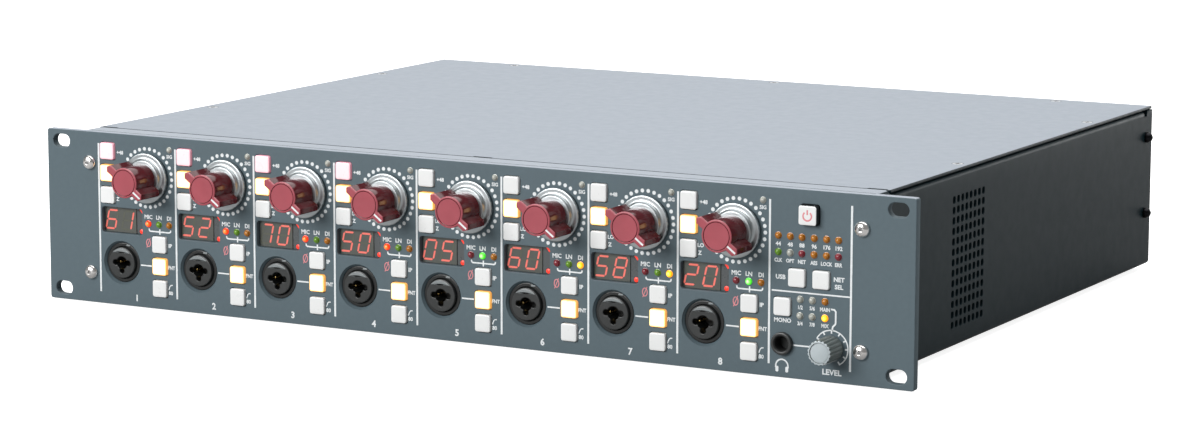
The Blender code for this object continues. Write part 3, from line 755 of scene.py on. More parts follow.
CHANNEL_WORDS = (
    ("+48", 13.3, 78.5, 1.9), ("SIG", 43.7, 78.4, 1.8), ("LO", 11.9, 58.2, 1.9), ("Z", 11.5, 54.6, 1.9),
    ("MIC", LAMPS_X[0], 46.9, 2.1), ("LN", LAMPS_X[1], 46.9, 2.1), ("DI", LAMPS_X[2], 46.9, 2.1),
    ("IP", 43.4, 33.0, 2.0), ("FNT", 44.0, 21.8, 1.9, 0.9), ("80", 43.4, 8.8, 1.9))


def channel_print(n):
    left = LEFTS[n]
    mark = Piece(f"channel_print_{n}")
    mark.ribbon([(left, SEPARATOR_Z[0]), (left, SEPARATOR_Z[1])], SEPARATOR)
    for x, z in circle(left + KNOB_X, KNOB_Z, DOTS_R, DOTS)():
        mark.turned(x, z, [(0.95, INK / 2), (0.95, -INK)], 14, tones=[0, 0])
    for word, x, z, *size in CHANNEL_WORDS:
        mark.text(word, left + x, z, *size)
    lamp_bracket(mark, left)
    roll_off = [(left + 42.2, 10.4), (left + 42.9, 12.2), (left + 43.5, 12.8), (left + 44.6, 12.9)]
    mark.ribbon(roll_off, 0.5)
    mark.ribbon([(left + 25.2, 21.7), (left + 31.9, 21.7)], LINE)
    mark.text(str(n), left + 22.4, 4.6, 3.3)
    ring = [(left + 30.1 + 1.25 * a, 33.5 + 1.9 * b) for a, b in circle(0, 0, 1, 24)()]
    mark.ribbon(ring, 0.45, slot=1, closed=True)
    mark.ribbon([(left + 29.0, 31.0), (left + 31.2, 36.0)], 0.4, slot=1, low=-OVER_INK)
    mark.finish(CASE, [INK_WHITE, INK_RED])


def channel_lamps(n):
    left = LEFTS[n]
    lamps = Piece(f"channel_lamps_{n}")
    on = SOURCES[n - 1]
    states = [("red_on" if on == 0 else "red_off"), ("green_on" if on == 1 else "green_off"),
              ("yellow_on" if on == 2 else "amber_off")]
    for x, state in zip(LAMPS_X, states):
        dome(lamps, left + x, LAMPS_Z, state)
    dome(lamps, left + SIGNAL_LAMP[0], SIGNAL_LAMP[1], "clear", radius=1.35, proud=1.4)
    lamps.finish(CASE, LAMP_LOOKS)


SEGMENTS = {"0": "abcdef", "1": "bc", "2": "abdeg", "3": "abcdg", "4": "bcfg", "5": "acdfg",
            "6": "acdefg", "7": "abc", "8": "abcdefg", "9": "abcdfg"}


def digit(piece, value, u, v, depth, on_slot, off_slot):
    """A seven-segment figure: seven bars with pointed ends, leaning to the right."""
    half, rise, thick, gap = 2.8, 4.7, 0.95, 0.22
    slant = math.tan(math.radians(12.5))
    ends = {
        "a": ((-half, rise), (half, rise)), "b": ((half, rise), (half, 0)),
        "c": ((half, 0), (half, -rise)), "d": ((-half, -rise), (half, -rise)),
        "e": ((-half, 0), (-half, -rise)), "f": ((-half, rise), (-half, 0)),
        "g": ((-half, 0), (half, 0)),
    }
    for name, (start, end) in ends.items():
        a, b = Vector(start), Vector(end)
        along = (b - a).normalized()
        side = Vector((-along.y, along.x)) * thick / 2
        a, b = a + along * gap, b - along * gap
        corners = [a, a + along * thick / 2 + side, b - along * thick / 2 + side, b,
                   b - along * thick / 2 - side, a + along * thick / 2 - side]
        loop = [(u + corner.x + corner.y * slant, v + corner.y) for corner in corners]
        slot = on_slot if name in SEGMENTS[value] else off_slot
        top = depth - (0.05 if slot == on_slot else 0.02)
        piece.loft([[(x, y, z) for x, z in loop] for y in (depth + 0.05, top)], slot)


def display(n):
    """The two-figure gain display behind its window, with a small lamp in two of its corners."""
    left = LEFTS[n]
    depth = 2.45
    width, height = DISPLAY_SIZE[0], DISPLAY_SIZE[1] - 0.3
    split = left + 21.0
    start, end = left + DISPLAY_X - width / 2 + 0.25, left + DISPLAY_X + width / 2 - 0.15
    unit = Piece(f"display_{n}")
    face = rounded((start + split) / 2, DISPLAY_Z, split - start, height, 0.3)
    unit.block(face, depth, 12.0, 0.15)
    margin = rounded((split + end) / 2 + 0.05, DISPLAY_Z, end - split - 0.1, height, 0.3)
    unit.block(margin, depth + 0.4, 12.0, 0.15, slot=1)
    for value, x in zip(READINGS[n - 1], (6.0, 15.7)):
        digit(unit, value, left + x, DISPLAY_Z, depth, 2, 3)
    corner = [(left + 22.7, 50.0), (left + 25.4, 50.0), (left + 25.4, 48.0), (left + 24.6, 47.6)]
    unit.block(polygon(corner), depth + 0.1, depth + 2, 0.2, slot=4)
    bead = [(1.2, depth + 2), (1.2, depth + 0.3), (0.8, depth + 0.05), (0, depth - 0.05)]
    unit.turned(left + 24.1, 38.4, bead, 20, slot=4, tones=[0, 0.2, 0.7, 1.0])
    looks = [DISPLAY_FACE, DISPLAY_EDGE, SEGMENT_ON, SEGMENT_OFF, CORNER_LAMP]
    unit.finish(CASE, looks, ["control_board"])


def control_board():
    """The board behind the panel, with its encoders and switches."""
    low, high = span("control_board")
    front, back = high.y - 1.6, high.y
    holes = [circle(left + SOCKET_X, SOCKET_Z, 11.2, 32) for left in LEFTS.values()]
    holes.append(rounded(PHONES_X, PHONES_Z, 13.4, 13.4, 0.8))
    board = Piece("control_board_panel")
    outer = rounded(0, (low.z + high.z) / 2, high.x - low.x, high.z - low.z, 1.5)
    board.plate(outer, holes, front, back, edge=0.15)
    switches = [*MASTER_BUTTONS, POWER]
    for left in LEFTS.values():
        board.block(rounded(left + KNOB_X, KNOB_Z, 12.0, 12.0, 0.8), 7.9, front, 0.3, slot=1)
        switches += [(left + x, z) for x, z in CHANNEL_BUTTONS]
    for x, z in switches:
        board.block(rounded(x, z, 7.0, 7.0, 0.5), 12.5, front, 0.3, slot=2)
    board.block(rounded(PHONES_KNOB_X, PHONES_Z, 10.0, 12.0, 0.8), 7.9, front, 0.3, slot=1)
    board.finish(CASE, [BOARD, SHEET_METAL, BLACK], ["control_board"])


def socket_opening(u, v):
    """The combined plug opening: a round hole with lobes to the left, right and bottom."""
    core, lobe, centre = 3.2, 1.45, 3.95

    def outline(grow=0.0):
        loop = []
        for i in range(96):
            turn = math.tau * i / 96
            reach = core + grow
            for way in (0, math.pi, -math.pi / 2):
                across = centre * math.sin(turn - way)
                ahead = math.cos(turn - way)
                if ahead > 0 and abs(across) < lobe + grow:
                    reach = max(reach, centre * ahead + math.sqrt((lobe + grow) ** 2 - across ** 2))
            loop.append(polar(u, v, reach, turn))
        return loop
    return outline


def input_socket(n):
    u, v = LEFTS[n] + SOCKET_X, SOCKET_Z
    socket = Piece(f"input_socket_{n}")
    ring = circle(u, v, 10.1, 64)
    well = [(1.2, 0.45), (1.45, 0.12), (1.7, 0), (6.0, 0)]
    socket.plate(ring, [(circle(u, v, 8.1, 64), well)], 1.2, 6.0, 0.35, slot=1)
    rim = [(-0.45, 0.3), (-0.36, 0.1), (-0.15, 0), (9.0, 0)]
    socket.plate(circle(u, v, 7.9, 64), [(socket_opening(u, v), rim)], -0.45, 9.0, 0.45, wall_slot=1)
    socket.block(circle(u, v, 9.9, 48), 9.05, 33.8, 0.3, slot=1)
    # The ledge across the top of the insert takes the painted highlight grey.
    ledge = arc(u, v, 7.45, 44, 136, 20)
    floor = [(u - 1.6, v + 5.15), (u - 0.9, v + 5.6), (u + 0.9, v + 5.6), (u + 1.6, v + 5.15)]
    socket.block(polygon(ledge + floor), -0.95, -0.3, 0.22, slot=2)
    for du, dv in ((4.3, -0.3), (-4.3, -0.3), (0.0, -4.3)):
        tip = [(0.85, 9.2), (0.85, 5.0), (0.6, 4.2), (0, 3.9)]
        socket.turned(u + du, v + dv, tip, 16, slot=3)
    # The small tab takes the painted highlight grey too.
    tab = rounded(u + 3.3, v + 9.0, 2.6, 0.9, 0.4)
    socket.block(tab, 0.85, 1.4, 0.2, slot=2)
    socket.finish(CASE, [GREY, BLACK, GREY_HIGHLIGHT, GOLD], ["input_socket_board"])


def input_board():
    board = Piece("input_board")
    start, end = LEFTS[1] + 1.5, LEFTS[8] + 26.5
    board.block(rounded((start + end) / 2, 40.0, end - start, 40.0, 1.5), 7.2, 8.8, 0.15, axis="z")
    pin = [(0.7, 6.6), (0.7, 9.4), (0, 9.9)]
    for left in LEFTS.values():
        for row in range(3):
            board.turned(left + 9.5 + 4.2 * row, 40.0, pin, 12, axis="z", slot=1)
    board.finish(CASE, [BOARD, STEEL], ["input_socket_board"])


# Knobs.

def grip_outline(u, v, turn):
    """The gain knob's grip seen from the front: a round body with two wings, narrow at their ends."""
    radius, half, shoulder, tip = 7.65, 2.1, 11.4, 12.8

    def outline(grow=0.0):
        wide, round_r = half + grow, radius + grow
        meet = math.asin(wide / round_r)
        loop = []
        foot = round_r * math.cos(meet)
        half_way, neck = 0.5 * (foot + shoulder), shoulder + 0.4 * grow
        end, blunt = tip + grow, 0.25 * (1 + grow)
        wing = [(foot, -wide), (half_way, -wide), (neck, -wide), (end, -blunt), (end, blunt),
                (neck, wide), (half_way, wide)]
        for side in (0, math.pi):
            points = [(math.hypot(a, b), math.atan2(b, a) + side) for a, b in wing]
            points += [(round_r, side + meet + (math.pi - 2 * meet) * i / 22) for i in range(22)]
            loop += [polar(u, v, reach, angle + turn) for reach, angle in points]
        return loop
    return outline


def gain_knob(n):
    u, v = LEFTS[n] + KNOB_X, KNOB_Z
    body = f"gain_knob_{n}"
    dial = Piece(f"gain_dial_{n}")
    profile = [(3.0, 7.5), (3.0, -0.6), (12.2, -0.6), (12.6, -0.8), (12.75, -1.2), (12.75, -2.15),
               (12.65, -2.45), (12.35, -2.58), (12.0, -2.6), (10.9, -2.62), (10.4, -2.72), (9.95, -2.98),
               (9.65, -3.4), (9.5, -3.95), (9.45, -4.4), (9.3, -4.58), (9.05, -4.64), (7.0, -4.64)]
    dial.turned(u, v, profile, 96)
    dial.finish(body, [DIAL], [body], smooth=40)

    grip = Piece(f"gain_grip_{n}")
    outline = grip_outline(u, v, POINTER)
    top = -20.42
    well = [(top, 0.2), (top, 0.12), (top + 0.06, 0.03), (top + 0.35, 0), (top + 0.42, -0.14)]
    inner = [(top + 0.42, -0.22), (top + 0.14, -0.3), (top + 0.04, -0.42), (top + 0.1, -3.5)]
    groove = circle(u, v, 6.7, 72)
    rings = [(-4.62, 0.0), (-4.9, 0.0), (top + 0.5, 0), (top + 0.17, -0.1), (top + 0.05, -0.3),
             (top, -0.5), (top, -0.58)]
    knob_shell(grip, outline, rings, groove, well + inner)
    pointer = Vector((math.cos(POINTER), math.sin(POINTER)))
    path = [(u + pointer.x * reach, v + pointer.y * reach) for reach in (7.0, 12.05)]
    grip.ribbon(path, 0.9, low=-20.47, high=-20.35, slot=2)
    side = Vector((-pointer.y, pointer.x)) * 0.2
    tip = Vector((u, v)) + pointer * 12.72
    corners = [tip + side, tip - side, tip - side + pointer * 0.06, tip + side + pointer * 0.06]
    grip.loft([[(c.x, y, c.y) for c in corners] for y in (-19.9, -4.8)], 2)
    grip.finish(body, [RED_SHADED_SIDE, RED_LIT_FACE, INK_WHITE], [body], smooth=22)


def knob_shell(piece, outline, rings, groove, groove_rings):
    """A grip with a grooved face: its sides, the flat front round the groove, and the groove's disc. The
    sides and the groove's walls take the darker red as painted shade; the front and the disc take the
    lighter red as painted light.
    """
    points, faces, kinds, rims = [], [], [], []
    parts = ((outline, rings, range(2), 0), (groove, groove_rings, range(2, 6), -1))
    for shape, steps, glossy_shaded, end in parts:
        starts = []
        for depth, grow in steps:
            starts.append(len(points))
            flat = shape(grow)
            points += [(a, depth, b) for a, b in flat]
        count = len(flat)
        faces += band(starts, count)
        kinds += [0 if step in glossy_shaded else 1 for step in range(len(starts) - 1) for _ in range(count)]
        faces.append([starts[end] + i for i in range(count)])
        kinds.append(0 if end == 0 else 1)
        rims.append((shape(steps[-1 - end][1]), starts[-1 - end]))
    cells = filled(rims)
    piece.add(points, faces + cells, kinds + [1] * len(cells))


def phones_knob():
    u, v = PHONES_KNOB_X, PHONES_Z
    flutes, around = 18, 8
    turn = math.radians(150)
    knob = Piece("phones_grip")

    def fluted(radius, depth, deep):
        loop = []
        for i in range(flutes * around):
            angle = math.tau * i / (flutes * around)
            wave = 0.5 + 0.5 * math.cos(angle * flutes)
            x, z = polar(u, v, radius - deep * wave ** 2, angle)
            loop.append((x, depth, z))
        return loop

    rings = [(5.9, -0.4, 0.0), (6.0, -0.9, 0.1), (6.0, -2.0, 0.55), (5.85, -12.7, 0.6),
             (5.78, -13.1, 0.55), (5.6, -13.4, 0.4), (5.35, -13.5, 0.1), (4.8, -13.5, 0.0),
             (4.68, -13.4, 0.0), (4.62, -12.9, 0.0), (4.48, -12.9, 0.0), (4.42, -13.05, 0.0),
             (4.25, -13.1, 0.0)]
    # The rounded front rim takes the lighter grey as painted highlight, as does the recessed cap.
    knob.loft([fluted(*ring) for ring in rings], slots=[0] * 4 + [1] * 3 + [0] * 2 + [1] * 3)
    knob.turned(u, v, [(3.0, 7.5), (3.0, -0.5)], 24)
    pointer = Vector((math.cos(-turn + math.pi / 2), math.sin(-turn + math.pi / 2)))
    side = Vector((-pointer.y, pointer.x)) * 0.32
    lines = []
    for depth, reach in ((-0.7, 5.98), (-2.0, 5.98), (-12.7, 5.88), (-13.2, 5.75), (-13.5, 5.4)):
        edge = Vector((u, v)) + pointer * reach
        inside = edge - pointer * 0.7
        corners = (edge + side, edge - side, inside - side, inside + side)
        lines.append([(corner.x, depth, corner.y) for corner in corners])
    knob.loft(lines, 2)
    looks = [PHONES_BODY, PHONES_CAP_AND_RIM_HIGHLIGHT, INK_WHITE]
    knob.finish("phones_knob", looks, ["phones_knob"], smooth=30)


def phones_jack():
    u, v = PHONES_X, PHONES_Z
    jack = Piece("phones_jack")
    nut = [(4.7, 4.7), (4.7, 0.05), (5.3, 0.05), (5.3, -1.5), (5.15, -1.85), (4.9, -2.0), (4.2, -2.0),
           (3.95, -1.9), (3.7, -1.4), (3.45, -1.0), (3.3, -0.6), (3.25, 28.0)]
    # The bore's last steps take the painted recess shade.
    jack.turned(u, v, nut, 48, slots=[0] * 9 + [1] * 2)
    jack.block(rounded(u, v, 12.0, 12.0, 0.6), 4.8, 29.8, 0.3, slot=1)
    jack.finish(CASE, [GREY, RECESS_SHADE], ["phones_socket"])


# Buttons.

def single_button(name, number, x, z, look):
    button = Piece(f"{name}_cap_{number}")
    cap(button, x, z)
    body = f"{name}_button_{number}"
    button.finish(body, [look], [body])


def buttons():
    for n in CHANNELS:
        left = LEFTS[n]
        top_look = CAP_PINK if n < 5 else CAP_PLAIN
        caps = Piece(f"left_caps_{n}")
        for slot, z in zip((0, 1, 2), LEFT_BUTTONS_Z):
            cap(caps, left + LEFT_BUTTON_X, z, slot)
        body = f"left_buttons_{n}"
        caps.finish(body, [CAP_PLAIN, CAP_WARM, top_look], [body])
        looks = (CAP_PLAIN, CAP_WARM, CAP_PLAIN)
        for name, z, look in zip(("low", "middle", "top"), RIGHT_BUTTONS_Z, looks):
            single_button(name, n, left + RIGHT_BUTTON_X, z, look)
    for i, (x, z) in enumerate(MASTER_BUTTONS, 1):
        single_button("master", i, x, z, CAP_PLAIN)
    power = Piece("power_cap")
    cap(power, *POWER, side_slot=1, proud=3.3, size=9.0)
    x, z = POWER
    for path in (arc(x, z - 0.3, 2.1, 130, 410, 20), [(x, z + 0.3), (x, z + 2.6)]):
        power.ribbon(path, 0.75, low=-3.34, high=-3.2, slot=2)
    power.finish("power_button", [CAP_PLAIN, CAP_SIDE, INK_RED], ["power_button"])


MASTER_WORDS = (("USB", 174.4, 47.0, 2.1), ("NET", 203.7, 48.0, 2.1), ("SEL", 203.7, 44.6, 2.1),
                ("MONO", 175.6, 26.9, 2.0), ("LEVEL", 200.6, 4.9, 2.6, 1.05))


def master_section():
    mark = Piece("master_print")
    lamps = Piece("master_lamps")
    for x in (MASTER_LEFT, MASTER_RIGHT):
        mark.ribbon([(x, SEPARATOR_Z[0]), (x, SEPARATOR_Z[1])], SEPARATOR)
    columns = (173.1, 179.1, 185.0, 191.1, 197.3, 203.3)
    for x, word in zip(columns, ("44", "48", "88", "96", "176", "192")):
        mark.text(word, x, 62.3, 1.9)
        dome(lamps, x, 66.0, "amber_off")
    states = ("green_off", "clear", "red_off", "amber_off", "amber_off", "red_off")
    for x, word, state in zip(columns, ("CLK", "OPT", "NET", "AES", "LOCK", "ERR"), states):
        mark.text(word, x, 54.7, 1.8, 0.85)
        dome(lamps, x, 58.4, state)
    for word, x, z, *size in MASTER_WORDS:
        mark.text(word, x, z, *size)
    mark.ribbon([(170.0, 40.4), (209.2, 40.4)], LINE)
    for x, upper, lower, high_state, low_state in (
            (184.4, "1/2", "3/4", "clear", "clear"), (190.5, "5/6", "7/8", "clear", "clear"),
            (196.9, "MAIN", "MIX", "amber_off", "yellow_on")):
        mark.text(upper, x, 33.6, 1.8, 0.85)
        mark.text(lower, x, 26.1, 1.8, 0.85)
        dome(lamps, x, 37.2, high_state)
        dome(lamps, x, 29.6, low_state)
    u, v = PHONES_KNOB_X, PHONES_Z
    lead = [(199.9, 34.0), (201.6, 33.9), (202.3, 33.0), (202.3, 28.0), (202.1, 27.2), (200.9, 26.0),
            (200.7, 24.9), (200.6, v + 8.3)]
    mark.ribbon(lead, 0.8)
    mark.ribbon(arc(u, v, 8.3, 90 + 62, 90 - 152, 40), 0.6)
    for step in range(8):
        turn = math.radians(90 + 60 - 30 * step)
        ends = [polar(u, v, reach, turn) for reach in (6.8, 8.3)]
        mark.ribbon(ends, 0.7, low=-OVER_INK)
    mark.ribbon([(181.3, 15.65), (189.4, 15.65)], LINE)
    headband = arc(PHONES_X - 0.2, 5.4, 3.1, 0, 180, 16)
    mark.ribbon([(PHONES_X + 2.9, 4.6)] + headband + [(PHONES_X - 3.3, 4.6)], 0.7)
    for side in (-1, 1):
        mark.block(rounded(PHONES_X - 0.2 + side * 2.5, 3.9, 1.5, 2.7, 0.6), -OVER_INK, INK / 2, 0.01)
    mark.finish(CASE, [INK_WHITE, INK_RED])
    lamps.finish(CASE, LAMP_LOOKS)


def panel_screws():
    for i in range(1, 5):
        at = middle(f"panel_screw_{i}")
        screw = Piece(f"panel_screw_head_{i}")
        button_head(screw, at.x, at.z, 3.75, 2.5)
        screw.turned(at.x, at.z, [(1.6, span(f"panel_screw_{i}")[1].y), (1.6, 0.1)], 16)
        screw.finish(CASE, [SCREW, SHEET_METAL], [f"panel_screw_{i}"])


# Case.

def sheet_path(corners, radius, steps=6):
    """The corners' polyline with its inner corners rounded."""
    path = [Vector(corners[0])]
    for before, at, after in zip(corners, corners[1:], corners[2:]):
        at = Vector(at)
        into, out = (at - Vector(before)).normalized(), (Vector(after) - at).normalized()
        centre = at - into * radius + out * radius
        for step in range(steps + 1):
            turn = step / steps * math.pi / 2
            path.append(centre - out * radius * math.cos(turn) + into * radius * math.sin(turn))
    path.append(Vector(corners[-1]))
    return path


def folded(piece, corners, start, end):
    """Sheet folded along the corners in (x, z) and drawn out along y."""
    path = sheet_path(corners, BEND)
    outer, inner = [], []
    for i, at in enumerate(path):
        into = (at - path[i - 1]).normalized() if i else (path[1] - at).normalized()
        out = (path[i + 1] - at).normalized() if i < len(path) - 1 else into
        along = (into + out).normalized()
        side = Vector((-along.y, along.x)) * SHEET / 2 / along.dot(out)
        outer.append(at + side)
        inner.append(at - side)
    loop = outer + inner[::-1]
    piece.loft([[(p.x, y, p.y) for p in loop] for y in (start, end)])


def case_tray():
    low, high = span("chassis_tray")
    half = high.x - SHEET / 2
    rear = high.y
    floor = low.z + SHEET / 2
    lip = TRAY_TOP - SHEET / 2
    tray = Piece("case_tray")
    lip_end = high.x - 11.5
    corners = [(-lip_end, lip), (-half, lip), (-half, floor), (half, floor), (half, lip), (lip_end, lip)]
    folded(tray, corners, 4.8, rear)
    shell = tray.object([CASE_PAINT])
    tools = Piece("tray_cuts")
    tools.block(rounded(0, 92.0, 460.0, 23.4, 0.1), 0.0, 16.8, 0.0)
    for side in (-1, 1):
        tools.block(rounded(side * half, 87.4, 26.0, 8.2, 0.4), rear - 11.8, rear - 8.0, 0.05)
        inner, outer = side * (high.x - 2.4), side * (high.x + 0.4)
        for column in range(VENT_COLUMNS):
            for row in range(VENT_ROWS):
                y, z = VENT_Y + VENT_PITCH_Y * column, VENT_Z + VENT_PITCH_Z * row
                outline = rounded(y, z, 3.0, 3.5, 1.2, 3)
                rings = [(inner, 0.0), (side * (high.x - 0.25), 0.0), (side * high.x, 0.22), (outer, 0.5)]
                tools.loft([[(x, a, b) for a, b in outline(grow)] for x, grow in rings])
    cut(shell, tools)
    strip = Piece("tray_strip")
    top = STRIP_TOP - SHEET / 2
    folded(strip, [(-half, STRIP_Z), (-half, top), (half, top), (half, STRIP_Z)], 4.8, 15.7)
    for side in (-1, 1):
        strip.block(rounded(side * half, 82.0, SHEET, 8.6, 0.2), rear - 8.0, rear, 0.02)
    cut(shell, strip, "UNION")
    shell.data.shade_smooth()
    shell.data.set_sharp_from_angle(angle=math.radians(30))
    shell.name = "case_tray"
    if not shell.data.materials:
        shell.data.materials.append(CASE_PAINT.material)
    shell.data.materials.append(STRIP_SHEEN_PAINT.material)
    # The strip's upward faces take the painted sheen instead of the tray's own dark paint.
    repaint(shell, top_strip)
    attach(shell, CASE)
    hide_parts("chassis_tray")


def vent_screens():
    """Dark sheets inside the vent holes: painted shade, standing in for the dark inside the case."""
    side = span("chassis_tray")[1].x - 3.4
    shade_sheets = Piece("vent_screens")
    for inner in (-side - 1.2, side):
        shade_sheets.block(rounded(108.5, 43.5, 45.0, 72.0, 2.0), inner, inner + 1.2, 0.2, axis="x")
    shade_sheets.finish(CASE, [RECESS_SHADE])


def top_cover():
    low, high = span("top_cover")
    notches = [-214.6, 6.4, 214.3]
    front, depth = low.y, 1.6
    back_row = high.y - 6.6
    points = [(high.x, front + 0.8), (high.x, high.y - 0.8), (high.x - 0.8, high.y),
              (low.x + 0.8, high.y), (low.x, high.y - 0.8), (low.x, front + 0.8), (low.x + 0.8, front)]
    for x in notches:
        reach = min(5.0, high.x - 1.9 - abs(x)) if abs(x) > 100 else 5.0
        points += [(x - reach, front), (x - reach + 0.3, front + depth),
                   (x + reach - 0.3, front + depth), (x + reach, front)]
    points.append((high.x - 0.8, front))
    spots = [(x, y) for x in (-214.5, 214.5) for y in (110.0, 281.0)]
    spots += [(x, back_row) for x in (-168.7, 0.0, 168.7)]
    top = high.z
    sink = [(top, 0.2), (top - 0.1, 0.1), (top - 1.0, -0.9), (top - 1.5, -0.9)]
    cover = Piece("cover")
    holes = [(circle(x, y, 2.75, 32), sink) for x, y in spots]
    cover.plate(polygon(points), holes, top, top - 1.5, 0.4, axis="z")
    sheet = cover.finish(CASE, [COVER_SHEEN_PAINT, CASE_PAINT], ["top_cover"])
    # Only the cover's top keeps the painted sheen; its edges and underside take the case's own dark paint.
    repaint(sheet, lambda face: face.normal.z < 0.96)
    screws = Piece("cover_screws")
    for x, y in spots:
        countersunk(screws, x, y, 2.7, top)
    # The cross recesses take the painted recess shade.
    screws.finish(CASE, [SHEET_METAL, RECESS_SHADE])
    small = Piece("strip_screws")
    for x, y in ((-215.5, 9.6), (4.2, 9.4), (213.7, 9.8)):
        countersunk(small, x, y, 2.0, STRIP_TOP, depth=0.6)
    # The cross recesses take the painted recess shade.
    small.finish(CASE, [SHEET_METAL, RECESS_SHADE])
    sides = Piece("side_screws")
    case_side = span("chassis_tray")[1].x
    for side in (-1, 1):
        for z in (72.1, 31.4):
            button_head(sides, high.y - 9.0, z, 2.9, 3.4, axis="x", facing=side, base=side * case_side)
    # The key sockets take the painted recess shade.
    sides.finish(CASE, [BLACK_SCREW, RECESS_SHADE])


# Rear.

def rear_plate():
    """The rear panel, with a flange under the cover and a hole for each socket."""
    low, high = span("rear_panel")
    holes = [rounded(INLET_X, REAR_Z, 27.6, 20.2, 1.2)]
    holes += [rounded(x, REAR_Z, 39.6, 9.0, 1.6) for x in MULTIPIN_X]
    holes += [circle(x, REAR_Z, 5.1, 40) for x in CLOCK_X]
    holes += [rounded(x, REAR_Z, 16.6, 14.0, 0.5) for x in NETWORK_X]
    plate = Piece("rear_plate")
    outer = rounded(0, (low.z + high.z) / 2, high.x - low.x, high.z - low.z, 0.8)
    plate.plate(outer, holes, high.y - 1.5, high.y, edge=0.2)
    flange = rounded(0, (low.y + high.y - 1.0) / 2, 416.0, high.y - 1.0 - low.y, 0.8)
    plate.block(flange, 84.5, 86.0, 0.15, axis="z")
    plate.finish(CASE, [CASE_PAINT], ["rear_panel"])


def multipin(piece, x):
    """A 25-way socket: a D-shaped shell round an insert with two rows of contacts, and its two nuts."""
    face = 360.0

    def shell(reach):
        wide, high, corner = 19.2 - reach, 4.1 - reach, 0.8
        half = [(wide - 0.4 - corner, -high), (wide - 0.28, corner - high), (wide, high - corner),
                (wide - corner, high)]
        mirrored = [(-a, b) for a, b in reversed(half)]
        return polygon([(x + a, REAR_Z + b) for a, b in half + mirrored])

    piece.block(rounded(x, REAR_Z, 39.0, 8.4, 1.0), 349.3, face + 0.4, 0.25, slot=1)
    piece.plate(shell(0.0), [shell(0.8)], face, 365.5, 0.15, slot=1)
    piece.block(shell(0.95), face, 364.7, 0.12, slot=2)
    contact = [(0.62, 364.2), (0.62, 364.85), (0.5, 364.95), (0.3, 364.9), (0.25, 364.3), (0, 364.3)]
    for row, count in ((1.42, 13), (-1.42, 12)):
        for i in range(count):
            piece.turned(x + 2.76 * (i - (count - 1) / 2), REAR_Z + row, contact, 10, slot=3)
    nut = [(2.9, 359.6), (2.9, 362.0), (2.6, 362.2), (1.5, 362.2), (1.3, 362.0), (1.3, 360.2), (0, 360.2)]
    for side in (-1, 1):
        piece.turned(x + side * 23.5, REAR_Z, nut, 6, slot=1)


def clock_socket(piece, x):
    """A bayonet socket: its barrel with two lugs, the insulator and the middle contact."""
    barrel = [(4.6, 349.3), (4.6, 359.5), (4.75, 359.8), (4.75, 360.8), (4.4, 361.0), (4.4, 369.3),
              (4.3, 369.7), (4.1, 369.9), (3.9, 369.8), (3.85, 369.4), (3.85, 363.0), (2.5, 363.0),
              (2.5, 367.8), (2.35, 368.0), (1.0, 368.0), (0.95, 366.6), (0, 366.6)]
    piece.turned(x, REAR_Z, barrel, 40, slots=[1] * 11 + [4] * 3 + [3] * 2)
    for side in (-1, 1):
        lug = [(reach, x + side * out) for reach, out in ((1.0, 4.3), (1.0, 5.2), (0.8, 5.35), (0, 5.35))]
        piece.turned(366.0, REAR_Z, lug, 14, axis="x", slot=1)


def network_socket(piece, x):
    """A network socket: a metal can round a stepped plug opening with eight contacts."""
    opening = [(-5.9, -3.0), (-3.2, -3.0), (-3.2, -4.6), (3.2, -4.6), (3.2, -3.0), (5.9, -3.0),
               (5.9, 4.2), (-5.9, 4.2)]
    mouth = polygon([(x + a, REAR_Z + b) for a, b in opening])
    piece.plate(rounded(x, REAR_Z, 16.0, 13.4, 0.5), [mouth], 349.3, 361.0, 0.2, slot=1, wall_slot=2)
    piece.block(rounded(x, REAR_Z, 15.0, 12.4, 0.4), 349.4, 352.4, 0.1, slot=2)
    for i in range(8):
        contact = rounded(x + 1.02 * (i - 3.5), REAR_Z + 3.2, 0.42, 0.5, 0.12, 2)
        piece.block(contact, 352.2, 359.6, 0.08, slot=3)


def rear_sockets():
    """The upright rear board and the sockets that it carries."""
    low, high = span("rear_io_board")
    sockets = Piece("rear_sockets")
    board = rounded((low.x + high.x) / 2, (low.z + high.z) / 2, high.x - low.x, high.z - low.z, 1.5)
    sockets.block(board, low.y, low.y + 1.6, 0.15)
    for x in MULTIPIN_X:
        multipin(sockets, x)
    for x in CLOCK_X:
        clock_socket(sockets, x)
    for x in NETWORK_X:
        network_socket(sockets, x)
    looks = [BOARD, STEEL, BLACK, GOLD, CAP_PLAIN]
    sockets.finish(CASE, looks, ["rear_io_board"])


def mains_socket():
    """The three-pin mains inlet: its flange, its body round the plug opening, and three blades."""
    low, high = span("mains_inlet")
    opening = [(-12.0, -8.1), (12.0, -8.1), (12.0, 4.2), (8.2, 8.1), (-8.2, 8.1), (-12.0, 4.2)]
    mouth = polygon([(INLET_X + a, REAR_Z + b) for a, b in opening])
    inlet = Piece("mains_socket")
    inlet.plate(rounded(INLET_X, REAR_Z, 31.0, 25.0, 2.5, 6), [mouth], high.y - 2.0, high.y, 0.4)
    inlet.plate(rounded(INLET_X, REAR_Z, 27.0, 19.6, 1.0), [mouth], low.y, high.y - 1.6, 0.2)
    inlet.block(rounded(INLET_X, REAR_Z, 26.6, 19.2, 0.9), low.y + 0.1, high.y - 16.5, 0.2)
    for dx, dz in ((-7.0, -2.0), (0.0, 2.0), (7.0, -2.0)):
        blade = rounded(INLET_X + dx, REAR_Z + dz, 2.0, 4.0, 0.5)
        inlet.block(blade, high.y - 17.5, high.y - 2.6, 0.35, slot=1)
    inlet.finish(CASE, [BLACK, STEEL], ["mains_inlet"])


def carry_over():
    """CAD nodes that stay as they are and get their finish."""
    for name, look in (("main_board", BOARD), ("power_supply", SHEET_METAL)):
        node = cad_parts[name]
        node.data.materials.clear()
        node.data.materials.append(look.material)


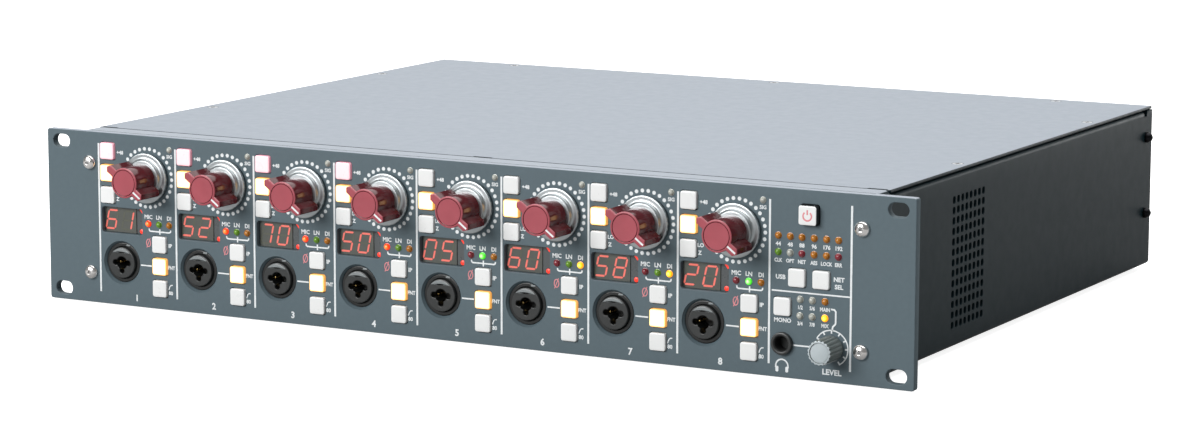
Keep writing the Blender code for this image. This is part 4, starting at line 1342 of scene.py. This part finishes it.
# Studio.

def studio_floor():
    """A pale floor, which is near white to the camera and grey in reflections."""
    mesh = bpy.data.meshes.new("studio_floor")
    reach, height = 40.0, CAD_BOUNDS[0][2] - 0.0005
    corners = [(x * reach, y * reach, height) for x, y in ((-1, -1), (1, -1), (1, 1), (-1, 1))]
    mesh.from_pydata(corners, [], [(0, 1, 2, 3)])
    floor = placed("studio_floor", mesh)
    look = Look("studio_floor", (0.85, 0.85, 0.85), 0.9).lit((1, 1, 1))
    seen = look.node("ShaderNodeLightPath").outputs["Is Camera Ray"]
    look.link(look.scaled(seen, 0.0, 0.88, 0, 1), look.shader.inputs["Emission Strength"])
    grey = look.ramp(seen, ((0.0, (0.31, 0.31, 0.31)), (1.0, (0.6, 0.6, 0.6))))
    look.link(grey, look.shader.inputs["Base Color"])
    floor.data.materials.append(look.material)


def area_light(name, place, target, size, power):
    light = bpy.data.lights.new(name, "AREA")
    light.shape = "RECTANGLE"
    light.size, light.size_y = size
    light.energy = power
    lit = placed(name, light)
    lit.visible_camera = False
    lit.location = place
    lit.rotation_euler = (Vector(target) - Vector(place)).to_track_quat("-Z", "Y").to_euler()


def studio_lights():
    area_light("overhead", (0.1, 0.4, 2.0), (0, 0.0, 0), (3.4, 2.6), 70.0)
    area_light("key", (-1.1, -2.6, 1.35), (0, 0, 0.03), (2.2, 1.4), 100.0)
    area_light("backdrop", (-1.6, 3.2, 1.1), (0, 0, 0.1), (5.0, 2.4), 24.0)
    area_light("edge", (0.52, 0.98, 0.16), (0.23, 0.16, 0.05), (0.3, 0.28), 0.9)


def studio_world():
    """White where the camera sees it, and a faint light for everything else."""
    world = bpy.data.worlds.new("studio")
    world.use_nodes = True
    sky = world.node_tree.nodes["Background"]
    sky.inputs["Color"].default_value = (1, 1, 1, 1)
    seen = world.node_tree.nodes.new("ShaderNodeLightPath").outputs["Is Camera Ray"]
    level = world.node_tree.nodes.new("ShaderNodeMapRange")
    world.node_tree.links.new(seen, level.inputs["Value"])
    level.inputs["To Min"].default_value = 0.24
    level.inputs["To Max"].default_value = 1.0
    world.node_tree.links.new(level.outputs["Result"], sky.inputs["Strength"])
    bpy.context.scene.world = world


def studio_camera():
    camera = bpy.data.cameras.new("camera")
    camera.sensor_width = 36.0
    camera.lens = 108.206
    camera.shift_x, camera.shift_y = 0.0580, -0.00684
    camera.clip_end = 200.0
    view = placed("camera", camera)
    place = Matrix.Translation((0.87653, FACE_Y - 1.46936, 0.33520))
    turn = Matrix.Rotation(math.radians(29.5692), 4, "Z") @ Matrix.Rotation(math.radians(81.0960), 4, "X")
    view.matrix_world = place @ turn @ Matrix.Rotation(math.radians(-0.0388), 4, "Z")
    bpy.context.scene.camera = view
    bpy.context.scene.view_settings.view_transform = "Standard"


front_plate()
for n in CHANNELS:
    channel_print(n)
    channel_lamps(n)
    display(n)
    input_socket(n)
    gain_knob(n)
input_board()
control_board()
buttons()
master_section()
phones_knob()
phones_jack()
panel_screws()
case_tray()
vent_screens()
top_cover()
rear_plate()
rear_sockets()
mains_socket()
carry_over()
studio_floor()
studio_lights()
studio_world()
studio_camera()
